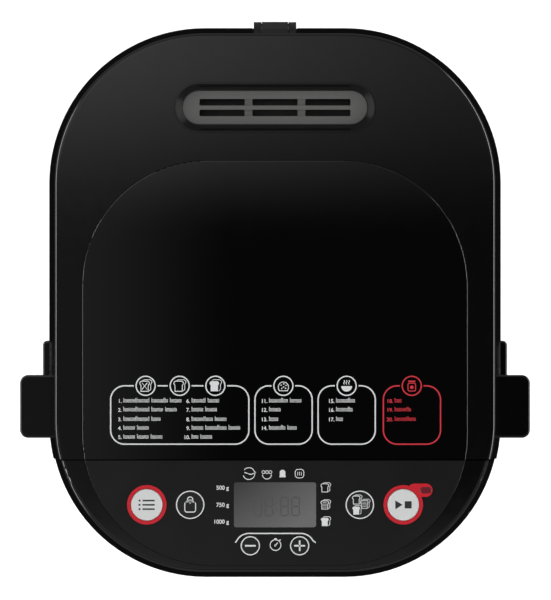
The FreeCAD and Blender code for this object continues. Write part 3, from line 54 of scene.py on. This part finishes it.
class Tree:
    """The nodes of one material or world."""

    def __init__(self, owner, empty=False):
        owner.use_nodes = True
        self.nodes = owner.node_tree.nodes
        self.links = owner.node_tree.links
        if empty:
            self.nodes.clear()

    def feed(self, socket, value):
        """Give a socket another node's output or a plain value."""
        if isinstance(value, bpy.types.NodeSocket):
            self.links.new(value, socket)
        else:
            socket.default_value = value

    def add(self, kind, inputs=(), **settings):
        node = self.nodes.new(kind)
        for name, value in settings.items():
            setattr(node, name, value)
        for name, value in dict(inputs).items():
            self.feed(node.inputs[name], value)
        return node

    def noise(self, at, scale, detail=3.0):
        inputs = {"Vector": at, "Scale": scale, "Detail": detail, "Roughness": 0.55}
        return self.add("ShaderNodeTexNoise", inputs).outputs["Fac"]

    def remap(self, value, low, high, start=0.25, end=0.75, blend="LINEAR"):
        """Stretch a value between start and end, by default a noise's, over low to high."""
        inputs = {"From Min": start, "From Max": end, "To Min": low, "To Max": high, "Value": value}
        return self.add("ShaderNodeMapRange", inputs, interpolation_type=blend).outputs["Result"]

    def mix(self, factor, first, second):
        mixer = self.add("ShaderNodeMix", data_type="RGBA")
        for name, value in (("Factor", factor), ("A", first), ("B", second)):
            self.feed(mixer.inputs[name], value)
        return mixer.outputs["Result"]

    def combine(self, operation, first, second):
        return self.add("ShaderNodeMath", {0: first, 1: second}, operation=operation).outputs["Value"]


# ---------------------------------------------------------------- finishes

# the least roughness that uneven gloss may reach, and the roughness of clear coats
MIRROR, COAT_ROUGH = 0.01, 0.06

def finish(name, colour, rough, metallic=0.0, grain=900.0, swell=60.0, grain_depth=0.01, swell_depth=0.0,
           rough_spread=0.04, shade=0.06, stretch=(1, 1, 1), coat=0.0, specular=0.5, fleck=None, painted_reflection=None):
    """A surface with fine grain, a slow swell, uneven gloss and, if asked, flecks or a painted reflection.

    Depths are in millimetres; grain, swell and flecks are as many to the metre as their number says."""
    material = bpy.data.materials.new(name)
    tree = Tree(material)
    shader = tree.nodes["Principled BSDF"]
    for socket, value in (("Metallic", metallic), ("Coat Weight", coat), ("Coat Roughness", COAT_ROUGH),
                          ("Specular IOR Level", specular)):
        shader.inputs[socket].default_value = value
    place = tree.add("ShaderNodeTexCoord").outputs["Object"]
    at = tree.add("ShaderNodeMapping", {"Vector": place, "Scale": stretch}).outputs["Vector"]
    fine = tree.noise(at, grain)
    slow = tree.noise(at, swell, detail=2.0)
    smoothest = max(rough - rough_spread, MIRROR)
    tree.feed(shader.inputs["Roughness"], tree.remap(slow, smoothest, rough + rough_spread))

    dark, light = ([min(level * share, 1) for level in srgb(*colour)[:3]] + [1]
                   for share in (1 - shade, 1 + shade))
    result = tree.mix(tree.remap(fine, 0, 1), dark, light)
    if fleck:
        fleck_colour, fleck_scale, fleck_size = fleck
        cells = tree.add("ShaderNodeTexVoronoi", {"Scale": fleck_scale, "Vector": at})
        spots = tree.remap(cells.outputs["Distance"], 1, 0, fleck_size * 0.7, fleck_size)
        result = tree.mix(spots, result, srgb(*fleck_colour))
    # painted reflection: the colour is mixed towards a lighter one along a direction, standing in for glare
    if painted_reflection:
        reflection_colour, direction, start, end = painted_reflection
        along = tree.add("ShaderNodeVectorMath", {0: place, 1: direction}, operation="DOT_PRODUCT")
        result = tree.mix(tree.remap(along.outputs["Value"], 0, 1, start, end), result, srgb(*reflection_colour))
    tree.feed(shader.inputs["Base Color"], result)

    normal = None
    for height, depth in ((fine, grain_depth), (slow, swell_depth)):
        if depth:
            bump = tree.add("ShaderNodeBump", {"Distance": depth * MM, "Height": height})
            if normal:
                tree.feed(bump.inputs["Normal"], normal)
            normal = bump.outputs["Normal"]
    if normal:
        tree.feed(shader.inputs["Normal"], normal)
    return material


LOOKS = {
    # mouldings
    "gloss_black": dict(colour=(11, 11, 12), rough=0.10, grain=700, swell=110, grain_depth=0.001,
                        swell_depth=0.004, rough_spread=0.03),
    "piano_black": dict(colour=(9, 9, 10), rough=0.06, grain=800, swell=90, grain_depth=0.0005,
                        swell_depth=0.003, rough_spread=0.02),
    "panel_black": dict(colour=(8, 8, 9), rough=0.05, grain=800, swell=90, grain_depth=0.0005,
                        swell_depth=0.003, rough_spread=0.02, coat=0.4, specular=0.8),
    "overlay_black": dict(colour=(12, 12, 13), rough=0.3, grain=3200, swell=40, grain_depth=0.003,
                          rough_spread=0.03, shade=0.1),
    "satin_black": dict(colour=(20, 20, 21), rough=0.42, grain=3200, swell=40, grain_depth=0.006,
                        shade=0.1),
    "inner_black": dict(colour=(24, 24, 25), rough=0.5, grain=1800, swell=45, grain_depth=0.012, shade=0.1),
    "rubber": dict(colour=(30, 30, 30), rough=0.78, grain=1400, swell=70, grain_depth=0.02, shade=0.14),
    "vent_grey": dict(colour=(96, 96, 95), rough=0.48, grain=2600, swell=45, grain_depth=0.008, shade=0.08),
    "pulley_plastic": dict(colour=(188, 184, 172), rough=0.5, grain=1600, shade=0.05),
    # controls
    "silver_cap": dict(colour=(226, 227, 227), rough=0.3, grain=3600, swell=50, grain_depth=0.003,
                       shade=0.03),
    "red_ring": dict(colour=(208, 40, 52), rough=0.24, grain=1500, grain_depth=0.002, shade=0.08),
    "lamp_red": dict(colour=(112, 36, 46), rough=0.18, grain=2400, swell=80, grain_depth=0.004, coat=0.5),
    # the display window is painted lighter towards the front right, a painted reflection of the lights on its
    # glass
    "display_grey": dict(colour=(66, 66, 66), rough=0.2, grain=4000, swell=25, grain_depth=0.001,
                         shade=0.04, coat=0.3, painted_reflection=((116, 116, 116), (0.6, -0.8, 0), 0.075, 0.118)),
    "circuit_board": dict(colour=(32, 84, 52), rough=0.42, grain=1100, swell=160, grain_depth=0.006,
                          shade=0.2, coat=0.3, fleck=((170, 160, 120), 420, 0.12)),
    # metals and ceramic
    "steel": dict(colour=(176, 178, 180), rough=0.3, metallic=1.0, grain_depth=0.003, stretch=(1, 1, 0.08),
                  shade=0.08),
    "oven_sheet": dict(colour=(150, 152, 153), rough=0.36, metallic=1.0, grain=1200, swell=18,
                       grain_depth=0.004, swell_depth=0.02, rough_spread=0.1, shade=0.1,
                       fleck=((172, 174, 176), 130, 0.42)),
    "aluminium": dict(colour=(190, 191, 192), rough=0.34, metallic=1.0, grain=1500, swell=50,
                      grain_depth=0.006, stretch=(0.1, 1, 1), shade=0.08),
    "nonstick": dict(colour=(50, 50, 52), rough=0.46, metallic=0.25, grain=1700, swell=55, shade=0.12,
                     fleck=((122, 122, 124), 900, 0.16)),
    "heater_steel": dict(colour=(74, 70, 66), rough=0.46, metallic=0.85, swell=40, grain_depth=0.008,
                         shade=0.25, rough_spread=0.12),
    "brass": dict(colour=(184, 148, 82), rough=0.32, metallic=1.0, grain=1300, grain_depth=0.004,
                  stretch=(1, 1, 0.1), shade=0.1),
    "ceramic": dict(colour=(222, 218, 206), rough=0.55, grain=1900, swell=90),
    # prints and the floor's paper
    "print_white": dict(colour=(232, 233, 234), rough=0.5, grain=5000, swell=90, grain_depth=0.002,
                        shade=0.04),
    "print_red": dict(colour=(214, 44, 58), rough=0.5, grain=5000, swell=90, grain_depth=0.002, shade=0.05),
    "print_dark": dict(colour=(36, 37, 40), rough=0.5, grain=5000, swell=90, grain_depth=0.002, shade=0.08),
    "lcd_mark": dict(colour=(80, 81, 81), rough=0.4, grain=5000, swell=90, grain_depth=0.001, shade=0.04),
    "paper": dict(colour=(238, 238, 238), rough=0.8, grain=500, swell=8, grain_depth=0.02, shade=0.01),
}
FINISHES = {name: finish(name, **look) for name, look in LOOKS.items()}

for cad_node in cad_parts.values():
    for slot_index, old in enumerate(cad_node.data.materials):
        cad_node.data.materials[slot_index] = FINISHES[old.name.split(".")[0]]
# the glossy panel and the film over the keys differ from the mouldings that share their slots
for node_name, finish_name in (("lid_panel", "panel_black"), ("control_panel", "overlay_black")):
    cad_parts[node_name].data.materials[0] = FINISHES[finish_name]


# ---------------------------------------------------------------- pens

PRINT_THICK = 0.04
# marks on the keys sink this far in, so that the visual model keeps to the CAD box
KEY_MARK_SINK = 0.03
# the built-in typeface's capitals as a share of its size, and how far its outlines are thickened
CAPITAL_SHARE, GLYPH_WEIGHT = 0.72, 0.07


def arc(x, y, radius, start, end, steps=24):
    """Points round a centre, from one angle in degrees to another."""
    turn = [math.radians(start + (end - start) * step / steps) for step in range(steps + 1)]
    return [(x + radius * math.cos(t), y + radius * math.sin(t)) for t in turn]


class Pen:
    """Draws flat marks in millimetres, from an origin on a panel, as one thin mesh."""

    def __init__(self, origin, top):
        self.origin = origin
        self.top = top
        self.points = []
        self.faces = []

    def patch(self, points):
        first = len(self.points)
        self.points += points
        self.faces.append(list(range(first, first + len(points))))

    def ribbon(self, points, width, closed=False):
        """A line of even width, mitred at its corners."""
        count = len(points)
        left, right = [], []
        for index, (x, y) in enumerate(points):
            before = points[index - 1] if closed or index else points[0]
            after = points[(index + 1) % count] if closed or index < count - 1 else points[-1]
            along = Vector((x - before[0], y - before[1]))
            onward = Vector((after[0] - x, after[1] - y))
            along = along.normalized() if along.length else onward.normalized()
            onward = onward.normalized() if onward.length else along
            middle = (along + onward).normalized()
            half = width / 2 / max(middle.dot(along), 0.5)
            left.append((x - middle.y * half, y + middle.x * half))
            right.append((x + middle.y * half, y - middle.x * half))
        for index in range(count if closed else count - 1):
            after = (index + 1) % count
            self.patch([left[index], right[index], right[after], left[after]])

    def ring(self, x, y, radius, width):
        self.ribbon(arc(x, y, radius, 0, 360, 48)[:-1], width, closed=True)

    def disc(self, x, y, radius, steps=32):
        self.patch(arc(x, y, radius, 0, 360, steps)[:-1])

    def frame(self, x0, y0, x1, y1, corner, width, gaps=()):
        """A rounded rectangle's line; gaps are stretches of its top side left open."""
        top = []
        start = x0 + corner
        for low, high in sorted(gaps):
            top.append((start, low))
            start = high
        top.append((start, x1 - corner))
        sides = arc(x1 - corner, y1 - corner, corner, 90, 0)
        sides += arc(x1 - corner, y0 + corner, corner, 0, -90)
        sides += arc(x0 + corner, y0 + corner, corner, 270, 180)
        sides += arc(x0 + corner, y1 - corner, corner, 180, 90)
        if not gaps:
            self.ribbon(sides, width, closed=True)
            return
        self.ribbon([(top[-1][0], y1)] + sides + [(top[0][1], y1)], width)
        for low, high in top[1:-1]:
            self.ribbon([(low, y1), (high, y1)], width)

    def glyphs(self, text, x, y, height):
        """Numbers and units, cut from the built-in typeface, ending at x and centred on y."""
        curve = bpy.data.curves.new("glyphs", "FONT")
        curve.body = text
        curve.size = height / CAPITAL_SHARE
        curve.align_x = "RIGHT"
        curve.offset = GLYPH_WEIGHT
        holder = bpy.data.objects.new("glyphs", curve)
        bpy.context.scene.collection.objects.link(holder)
        bpy.context.view_layer.update()
        solved = holder.evaluated_get(bpy.context.evaluated_depsgraph_get())
        flat = bpy.data.meshes.new_from_object(solved)
        first = len(self.points)
        self.points += [(v.co.x + x, v.co.y + y - height / 2) for v in flat.vertices]
        self.faces += [[first + v for v in face.vertices] for face in flat.polygons]
        bpy.data.objects.remove(holder)
        bpy.data.curves.remove(curve)
        bpy.data.meshes.remove(flat)

    def words(self, x, y, lengths):
        """Word-like rows of upright strokes, standing in for lettering."""
        pitch, low, tall, rise, space = 0.73, 0.95, 1.05, 0.75, 1.4
        upright, level, inset = 0.34, 0.24, 0.1
        for length in lengths:
            for stroke in range(2 * length):
                up = tall + (rise if stroke * 7 % 11 in (0, 4) else 0)
                middle = x + pitch * (stroke + 0.5)
                self.ribbon([(middle, y - low), (middle, y + up)], upright)
            for line in (y - low + upright / 2, y + tall - upright / 2):
                self.ribbon([(x + inset, line), (x + 2 * length * pitch - inset, line)], level)
            x += pitch * (2 * length + space)

    def build(self, name, body, finish_name, slot):
        """Lay the marks on their panel and let them move with its body."""
        mesh = bpy.data.meshes.new(name)
        at = [(self.origin[0] + x * MM, self.origin[1] + y * MM, self.top) for x, y in self.points]
        mesh.from_pydata(at, [], self.faces)
        mesh.update()
        for face in mesh.polygons:
            if face.normal.z < 0:
                face.flip()
        mesh.materials.append(FINISHES[finish_name])
        marks = bpy.data.objects.new(name, mesh)
        bpy.context.scene.collection.objects.link(marks)
        thick = marks.modifiers.new("thickness", "SOLIDIFY")
        thick.thickness = PRINT_THICK * MM
        thick.offset = 1.0
        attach(marks, body)


def pen_on(node, sink=0.0):
    """A pen whose origin is the middle of a node's top."""
    low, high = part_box(node)
    return Pen(((low.x + high.x) / 2, (low.y + high.y) / 2), high.z - sink * MM)


# ---------------------------------------------------------------- marks on the lid panel

# a slice of bread, as shares of its size
SLICE = [(-0.36, -0.5), (0.36, -0.5), (0.36, 0.08), (0.47, 0.24), (0.45, 0.4), (0.3, 0.5), (-0.3, 0.5),
         (-0.45, 0.4), (-0.47, 0.24), (-0.36, 0.08)]
LOAF_EDGE = [(-0.3, 0.52), (-0.12, 0.6), (0.42, 0.6), (0.62, 0.46), (0.6, 0.28), (0.5, 0.14),
             (0.5, -0.36), (0.34, -0.5)]
SLICE_LEFT, SLICE_RIGHT = -0.36, 0.16


def slice_icon(pen, x, y, size, style, line=0.5):
    """A slice of bread in front of the loaf's edge."""
    front = [(x + size * (px - 0.1), y + size * (py - 0.04)) for px, py in SLICE]
    left, right = x + SLICE_LEFT * size, x + SLICE_RIGHT * size
    pen.ribbon([(x + size * px, y + size * py) for px, py in LOAF_EDGE], line * 0.8)
    if style == "full":
        pen.patch(front)
        return
    pen.ribbon(front, line, closed=True)
    if style == "half":
        for share in (-0.3, -0.12, 0.06, 0.24):
            pen.ribbon([(left, y + share * size), (right, y + share * size)], line * 0.55)
    if style == "crossed":
        pen.ribbon([(left, y - 0.36 * size), (right, y + 0.3 * size)], line)
        pen.ribbon([(left, y + 0.3 * size), (right, y - 0.36 * size)], line * 0.6)


def dough_icon(pen, x, y):
    """A lump of dough with currants."""
    lump = arc(x, y - 0.8, 3.1, -20, 200) + [(x - 2.5, y - 3.0), (x + 2.5, y - 3.0)]
    pen.ribbon(lump, 0.5, closed=True)
    for dot_x, dot_y in ((-1.4, 0.4), (0.2, 1.2), (1.6, 0.2), (0.1, -0.8), (-1.0, -1.6), (1.3, -1.6)):
        pen.disc(x + dot_x, y + dot_y, 0.42, 12)


def bowl_icon(pen, x, y):
    """A steaming bowl."""
    pen.patch(arc(x, y - 0.2, 3.3, 180, 360))
    for steam in (x - 1.5, x, x + 1.5):
        pen.ribbon([(steam, y + 0.8), (steam - 0.4, y + 1.8), (steam + 0.3, y + 2.6),
                    (steam - 0.1, y + 3.4)], 0.45)


def jar_icon(pen, x, y):
    """A jar with its lid and a label."""
    pen.frame(x - 2.3, y - 3.2, x + 2.3, y + 1.6, 1.0, 0.55)
    pen.ribbon([(x - 2.2, y + 2.7), (x + 2.2, y + 2.7)], 0.9)
    pen.disc(x, y - 0.9, 1.1, 16)


def bread_icon(style):
    """A drawing of a slice in one of its four styles, for the table of frames."""
    return lambda pen, x, y: slice_icon(pen, x, y, 6.2, style)


# The table of programmes: frames, columns and rows, from the middle of the panel's front edge.
ICON_RADIUS, ICON_GAP, ICON_LINE = 5.8, 1.4, 0.75
FRAME_TOP, FRAME_FOOT, FRAME_LINE, FRAME_CORNER = 44.7, 9.2, 0.8, 8.5
ROWS = (35.5, 30.1, 24.3, 19.0, 13.5)
NUMBER_TALL, NUMBER_SPACE = 2.3, 0.8
WHITE_FRAMES = (
    (-100.0, -15.9, ((-78.7, bread_icon("crossed")), (-58.0, bread_icon("open")),
                     (-36.3, bread_icon("full")))),
    (-12.2, 22.6, ((5.1, dough_icon),)),
    (26.2, 61.0, ((43.6, bowl_icon),)),
)
RED_FRAMES = ((65.9, 100.7, ((83.2, jar_icon),)),)
# each column's number edge, its first number, and the letters in the words of each row
WHITE_COLUMNS = (
    (-93.2, 1, ((11, 7, 5), (11, 5, 5), (11, 4), (5, 5), (5, 5, 5))),
    (-51.7, 6, ((6, 5), (5, 5), (9, 5), (5, 9, 5), (3, 5))),
    (-4.6, 11, ((8, 5), (5,), (4,), (7, 4))),
    (36.2, 15, ((8,), (7,), (3,))),
)
RED_COLUMNS = ((71.8, 18, ((3,), (7,), (9,))),)


def programme_table(name, frames, columns, finish_name, slot):
    low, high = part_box("lid_panel")
    pen = Pen(((low.x + high.x) / 2, low.y), high.z)
    for left, right, icons in frames:
        reach = ICON_RADIUS + ICON_GAP
        gaps = [(icon_x - reach, icon_x + reach) for icon_x, _ in icons]
        pen.frame(left, FRAME_FOOT, right, FRAME_TOP, FRAME_CORNER, FRAME_LINE, gaps)
        for icon_x, draw in icons:
            pen.ring(icon_x, FRAME_TOP, ICON_RADIUS, ICON_LINE)
            draw(pen, icon_x, FRAME_TOP)
    for edge, first_number, programmes in columns:
        for row, lengths in enumerate(programmes):
            pen.glyphs(f"{first_number + row}.", edge, ROWS[row], NUMBER_TALL)
            pen.words(edge + NUMBER_SPACE, ROWS[row], lengths)
    pen.build(name, "lid", finish_name, slot)


programme_table("lid_marks", WHITE_FRAMES, WHITE_COLUMNS, "print_white", "silver_cap")
programme_table("lid_red_marks", RED_FRAMES, RED_COLUMNS, "print_red", "red_ring")


# ---------------------------------------------------------------- marks on the control overlay

# Places on the overlay, from the middle of the display.
WEIGHTS = (("500 g", "open", 10.5), ("750 g", "half", 0.1), ("1000 g", "full", -10.2))
WEIGHT_EDGE, CRUST_COLUMN = -28.1, 30.8
STAGE_ROW = 19.0
TIMER_ROW = -24.5
BRACKET_TOP, BRACKET_RADIUS, BRACKET_ENDS = -25.8, 8.4, -23.0


def stage_icons(pen, y):
    """The stages of a programme: knead, rest, bake and keep warm."""
    pen.ribbon(arc(-15.9, y, 3.6, 200, 500, 24), 0.5)
    pen.ribbon([(-18.6, y + 0.7), (-14.5, y - 0.6), (-11.6, y + 1.0)], 0.5)
    pen.ribbon(arc(-4.9, y - 0.6, 2.7, 180, 360, 16), 0.5)
    for puff in (-2.1, 0.0, 2.1):
        pen.ring(-4.9 + puff, y + 0.9, 0.9, 0.4)
    pen.patch([(2.7, y - 2.2), (6.5, y - 2.2), (6.3, y - 1.2), (6.3, y + 1.2), (5.5, y + 2.2), (3.7, y + 2.2),
               (2.9, y + 1.2), (2.9, y - 1.2)])
    pen.frame(12.3, y - 2.6, 17.5, y + 2.6, 1.8, 0.45)
    for bar in (13.8, 14.9, 16.0):
        pen.ribbon([(bar, y - 1.1), (bar, y + 1.1)], 0.4)


def stopwatch_icon(pen, x, y):
    pen.ring(x, y, 3.25, 0.55)
    pen.ribbon([(x, y + 3.5), (x, y + 4.2)], 1.6)
    pen.ribbon([(x + 2.4, y + 2.7), (x + 3.0, y + 3.4)], 0.7)
    pen.ribbon([(x - 0.2, y - 0.2), (x + 1.3, y + 1.4)], 0.6)
    pen.disc(x - 0.2, y - 0.2, 0.6, 16)


def overlay_marks():
    pen = pen_on("display_window")
    pen.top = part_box("control_panel")[1].z
    for weight, style, level in WEIGHTS:
        pen.glyphs(weight, WEIGHT_EDGE, level, 2.5)
        slice_icon(pen, CRUST_COLUMN, level, 5.0, style, 0.45)
    bracket = [(-24.1, BRACKET_ENDS)] + arc(-15.9, BRACKET_TOP, BRACKET_RADIUS, 152, 90, 12)
    bracket += arc(15.7, BRACKET_TOP, BRACKET_RADIUS, 90, 28, 12) + [(24.8, BRACKET_ENDS)]
    pen.ribbon(bracket, 0.75)
    stage_icons(pen, STAGE_ROW)
    stopwatch_icon(pen, 0.3, TIMER_ROW)
    pen.build("overlay_marks", "base", "print_white", "silver_cap")


overlay_marks()


# ---------------------------------------------------------------- marks on the keys

BLACK_KEY_RADIUS, BLACK_KEY_LINE = 8.3, 0.65
SMALL_KEY_RADIUS, SMALL_KEY_LINE = 5.5, 0.65


def minus_marks(pen):
    pen.ring(0, 0, SMALL_KEY_RADIUS, SMALL_KEY_LINE)
    pen.ribbon([(-3.3, 0), (3.3, 0)], 1.0)


def plus_marks(pen):
    minus_marks(pen)
    pen.ribbon([(0, -3.2), (0, 3.2)], 1.0)


def weight_marks(pen):
    """A kitchen weight."""
    pen.ring(0, 0, BLACK_KEY_RADIUS, BLACK_KEY_LINE)
    pen.frame(-3.3, -4.4, 3.3, 1.8, 1.4, 0.6)
    pen.ribbon(arc(0, -0.4, 3.3, 150, 30, 16), 0.5)
    pen.ring(0, 3.2, 1.6, 0.6)
    pen.disc(0, 1.2, 0.5, 12)


def crust_marks(pen):
    """Three slices, from pale to dark."""
    pen.ring(0, 0, BLACK_KEY_RADIUS, BLACK_KEY_LINE)
    for x, y, style, line in ((-1.7, 3.1, "open", 0.45), (3.2, 0.5, "half", 0.4),
                              (-1.7, -3.3, "full", 0.45)):
        slice_icon(pen, x, y, 4.9, style, line)


def menu_marks(pen):
    """A list."""
    for level in (2.6, 0.0, -2.6):
        pen.disc(-4.4, level, 0.62, 16)
        pen.ribbon([(-2.6, level), (4.8, level)], 0.95)


def start_marks(pen):
    """A play sign and a stop sign."""
    pen.patch([(-4.8, -2.7), (-0.4, 0.0), (-4.8, 2.7)])
    pen.patch([(0.9, -2.2), (5.1, -2.2), (5.1, 2.2), (0.9, 2.2)])


WHITE_PRINT, DARK_PRINT = ("print_white", "silver_cap"), ("print_dark", "inner_black")
KEY_MARKS = (
    ("minus", minus_marks, WHITE_PRINT),
    ("plus", plus_marks, WHITE_PRINT),
    ("weight", weight_marks, WHITE_PRINT),
    ("crust", crust_marks, WHITE_PRINT),
    ("menu", menu_marks, DARK_PRINT),
    ("start", start_marks, DARK_PRINT),
)
for key, draw, (finish_name, slot) in KEY_MARKS:
    key_pen = pen_on(f"{key}_button", sink=KEY_MARK_SINK)
    draw(key_pen)
    key_pen.build(f"{key}_key_marks", f"{key}_button_key", finish_name, slot)


# ---------------------------------------------------------------- faint unlit bars in the display

DIGIT_WIDE, DIGIT_TALL, BAR_LINE, BAR_END = 4.6, 11.0, 0.7, 0.5


def digit(pen, x, y):
    """The seven unlit bars of one digit."""
    half_wide, half_tall = DIGIT_WIDE / 2, DIGIT_TALL / 2
    for level in (-half_tall, 0, half_tall):
        pen.ribbon([(x - half_wide + BAR_END, y + level), (x + half_wide - BAR_END, y + level)], BAR_LINE)
    for side in (-half_wide, half_wide):
        for low in (-half_tall, 0):
            pen.ribbon([(x + side, y + low + BAR_END), (x + side, y + low + half_tall - BAR_END)], BAR_LINE)


def display_marks():
    pen = pen_on("display_window")
    for place in (-10.5, -3.7, 5.7, 12.5):
        digit(pen, place, -1.0)
    for level in (1.2, -3.2):
        pen.disc(1.0, level, 0.55, 12)
    pen.build("lcd_marks", "base", "lcd_mark", "display_grey")


display_marks()


# ---------------------------------------------------------------- studio

def place_object(name, data, at, aim=None):
    thing = bpy.data.objects.new(name, data)
    bpy.context.scene.collection.objects.link(thing)
    thing.location = at
    if aim is not None:
        thing.rotation_euler = (Vector(aim) - Vector(at)).to_track_quat("-Z", "Y").to_euler()
    return thing


def soft_light(name, at, aim, size, power):
    """A large lamp that lights the object but shows neither itself nor its reflection."""
    lamp = bpy.data.lights.new(name, "AREA")
    lamp.shape = "RECTANGLE"
    lamp.size, lamp.size_y = size
    lamp.energy = power
    thing = place_object(name, lamp, at, aim)
    thing.visible_camera = False
    thing.visible_glossy = False


def flat_sheet(name, half_x, half_y, height, material):
    mesh = bpy.data.meshes.new(name)
    mesh.from_pydata([(-half_x, -half_y, height), (half_x, -half_y, height), (half_x, half_y, height),
                      (-half_x, half_y, height)], [], [(0, 1, 2, 3)])
    mesh.materials.append(material)
    sheet = place_object(name, mesh, (0, 0, 0))
    return sheet


def only_in_gloss(sheet):
    for sight in ("camera", "diffuse", "transmission", "volume_scatter", "shadow"):
        setattr(sheet, f"visible_{sight}", False)


def glow(name):
    """A material that only emits, with its tree and its emission node."""
    material = bpy.data.materials.new(name)
    tree = Tree(material, empty=True)
    emission = tree.add("ShaderNodeEmission")
    tree.add("ShaderNodeOutputMaterial", {"Surface": emission.outputs["Emission"]})
    return material, tree, emission.inputs["Strength"]


def card_material():
    """Light from an overhead diffuser: strongest at the rear, weaker at the left and the front."""
    material, tree, strength = glow("overhead_card")
    place = tree.add("ShaderNodeTexCoord").outputs["Object"]
    split = tree.add("ShaderNodeSeparateXYZ", {"Vector": place})

    def slope(axis, start, end, low, high):
        return tree.remap(split.outputs[axis], low, high, start, end, blend="SMOOTHSTEP")

    rear = tree.combine("MULTIPLY", slope("Y", 0.04, 0.18, 0.0, 0.85), slope("X", -0.12, 0.17, 1.0, 0.35))
    left = slope("X", -0.02, -0.15, 0.0, 0.14)
    front = slope("Y", -0.13, -0.17, 0.0, 0.35)
    tree.feed(strength, tree.combine("ADD", tree.combine("ADD", rear, left), front))
    return material


# just under the feet, so that it doesn't lie in their faces
FLOOR_HALF, FLOOR_DROP, FLOOR_GLOW = 6.0, 0.0002, 0.72
floor_shader = FINISHES["paper"].node_tree.nodes["Principled BSDF"]
floor_shader.inputs["Emission Color"].default_value = (1, 1, 1, 1)
floor_shader.inputs["Emission Strength"].default_value = FLOOR_GLOW
floor = flat_sheet("floor", FLOOR_HALF, FLOOR_HALF, -FLOOR_DROP, FINISHES["paper"])
floor.visible_glossy = False

CARD_HALF, CARD_HEIGHT = 0.75, 1.1
only_in_gloss(flat_sheet("overhead_card", CARD_HALF, CARD_HALF, CARD_HEIGHT, card_material()))

# bright strips at both sides, for the thin lines of light along the edges
STRIP_HALF_X, STRIP_HALF_Y, STRIP_AWAY, STRIP_HEIGHT, STRIP_TILT = 0.3, 0.9, 1.3, 0.75, 60
STRIPS = ((-1, "left_strip", 9.0, -0.1), (1, "right_strip", 10.0, 0.5))
for side, name, power, middle_y in STRIPS:
    strip_material, _, strip_strength = glow(name)
    strip_strength.default_value = power
    strip = flat_sheet(name, STRIP_HALF_X, STRIP_HALF_Y, 0, strip_material)
    strip.location = (side * STRIP_AWAY, middle_y, STRIP_HEIGHT)
    strip.rotation_euler = (0, -side * math.radians(STRIP_TILT), 0)
    only_in_gloss(strip)

LAMPS = (
    ("left_light", (-1.5, 0.3, 1.3), (0, 0, 0.2), (1.2, 1.6), 14),
    ("right_light", (1.6, -0.2, 1.2), (0, 0, 0.2), (1.2, 1.6), 10),
    ("front_light", (0.5, -1.5, 1.1), (0, 0, 0.25), (1.6, 1.0), 14),
    ("rear_light", (-0.4, 1.7, 1.2), (0, 0, 0.25), (1.6, 1.0), 10),
)
for lamp_settings in LAMPS:
    soft_light(*lamp_settings)

# grey levels from straight below, 0, over the horizon, 0.5, to straight above, 1
WORLD_LEVELS = ((0.06, 0.004), (0.14, 0.24), (0.46, 0.34), (0.54, 0.5), (0.7, 0.36), (0.86, 0.12),
                (1.0, 0.04))


def studio_world():
    """White to the camera; for all else bright round the horizon, dark overhead and straight below."""
    world = bpy.data.worlds.new("studio")
    bpy.context.scene.world = world
    tree = Tree(world, empty=True)
    place = tree.add("ShaderNodeTexCoord").outputs["Generated"]
    split = tree.add("ShaderNodeSeparateXYZ", {"Vector": place})
    rise = tree.add("ShaderNodeMapRange", {"From Min": -1, "Value": split.outputs["Z"]})
    ramp = tree.add("ShaderNodeValToRGB", {"Fac": rise.outputs["Result"]})
    stops = ramp.color_ramp.elements
    for index, (position, level) in enumerate((WORLD_LEVELS[0], WORLD_LEVELS[-1])):
        stops[index].position = position
        stops[index].color = (level, level, level, 1)
    for position, level in WORLD_LEVELS[1:-1]:
        stops.new(position).color = (level, level, level, 1)
    sight = tree.add("ShaderNodeLightPath").outputs["Is Camera Ray"]
    colour = tree.mix(sight, ramp.outputs["Color"], (1, 1, 1, 1))
    back = tree.add("ShaderNodeBackground", {"Color": colour})
    tree.add("ShaderNodeOutputWorld", {"Surface": back.outputs["Background"]})


studio_world()
bpy.context.scene.view_settings.view_transform = "Standard"

# The camera looks straight down from far off; the height of its view is measured at the object's top.
CAMERA_HEIGHT, CAMERA_X, CAMERA_Y = 13.0, 0.0003, -0.0003
VIEW_HEIGHT, VIEW_LEVEL, SENSOR, CAMERA_REACH = 0.365, 0.3, 36.0, 60
camera_data = bpy.data.cameras.new("camera")
camera_data.sensor_fit = "VERTICAL"
camera_data.sensor_height = SENSOR
camera_data.lens = SENSOR * (CAMERA_HEIGHT - VIEW_LEVEL) / VIEW_HEIGHT
camera_data.clip_end = CAMERA_REACH
bpy.context.scene.camera = place_object("camera", camera_data, (CAMERA_X, CAMERA_Y, CAMERA_HEIGHT))
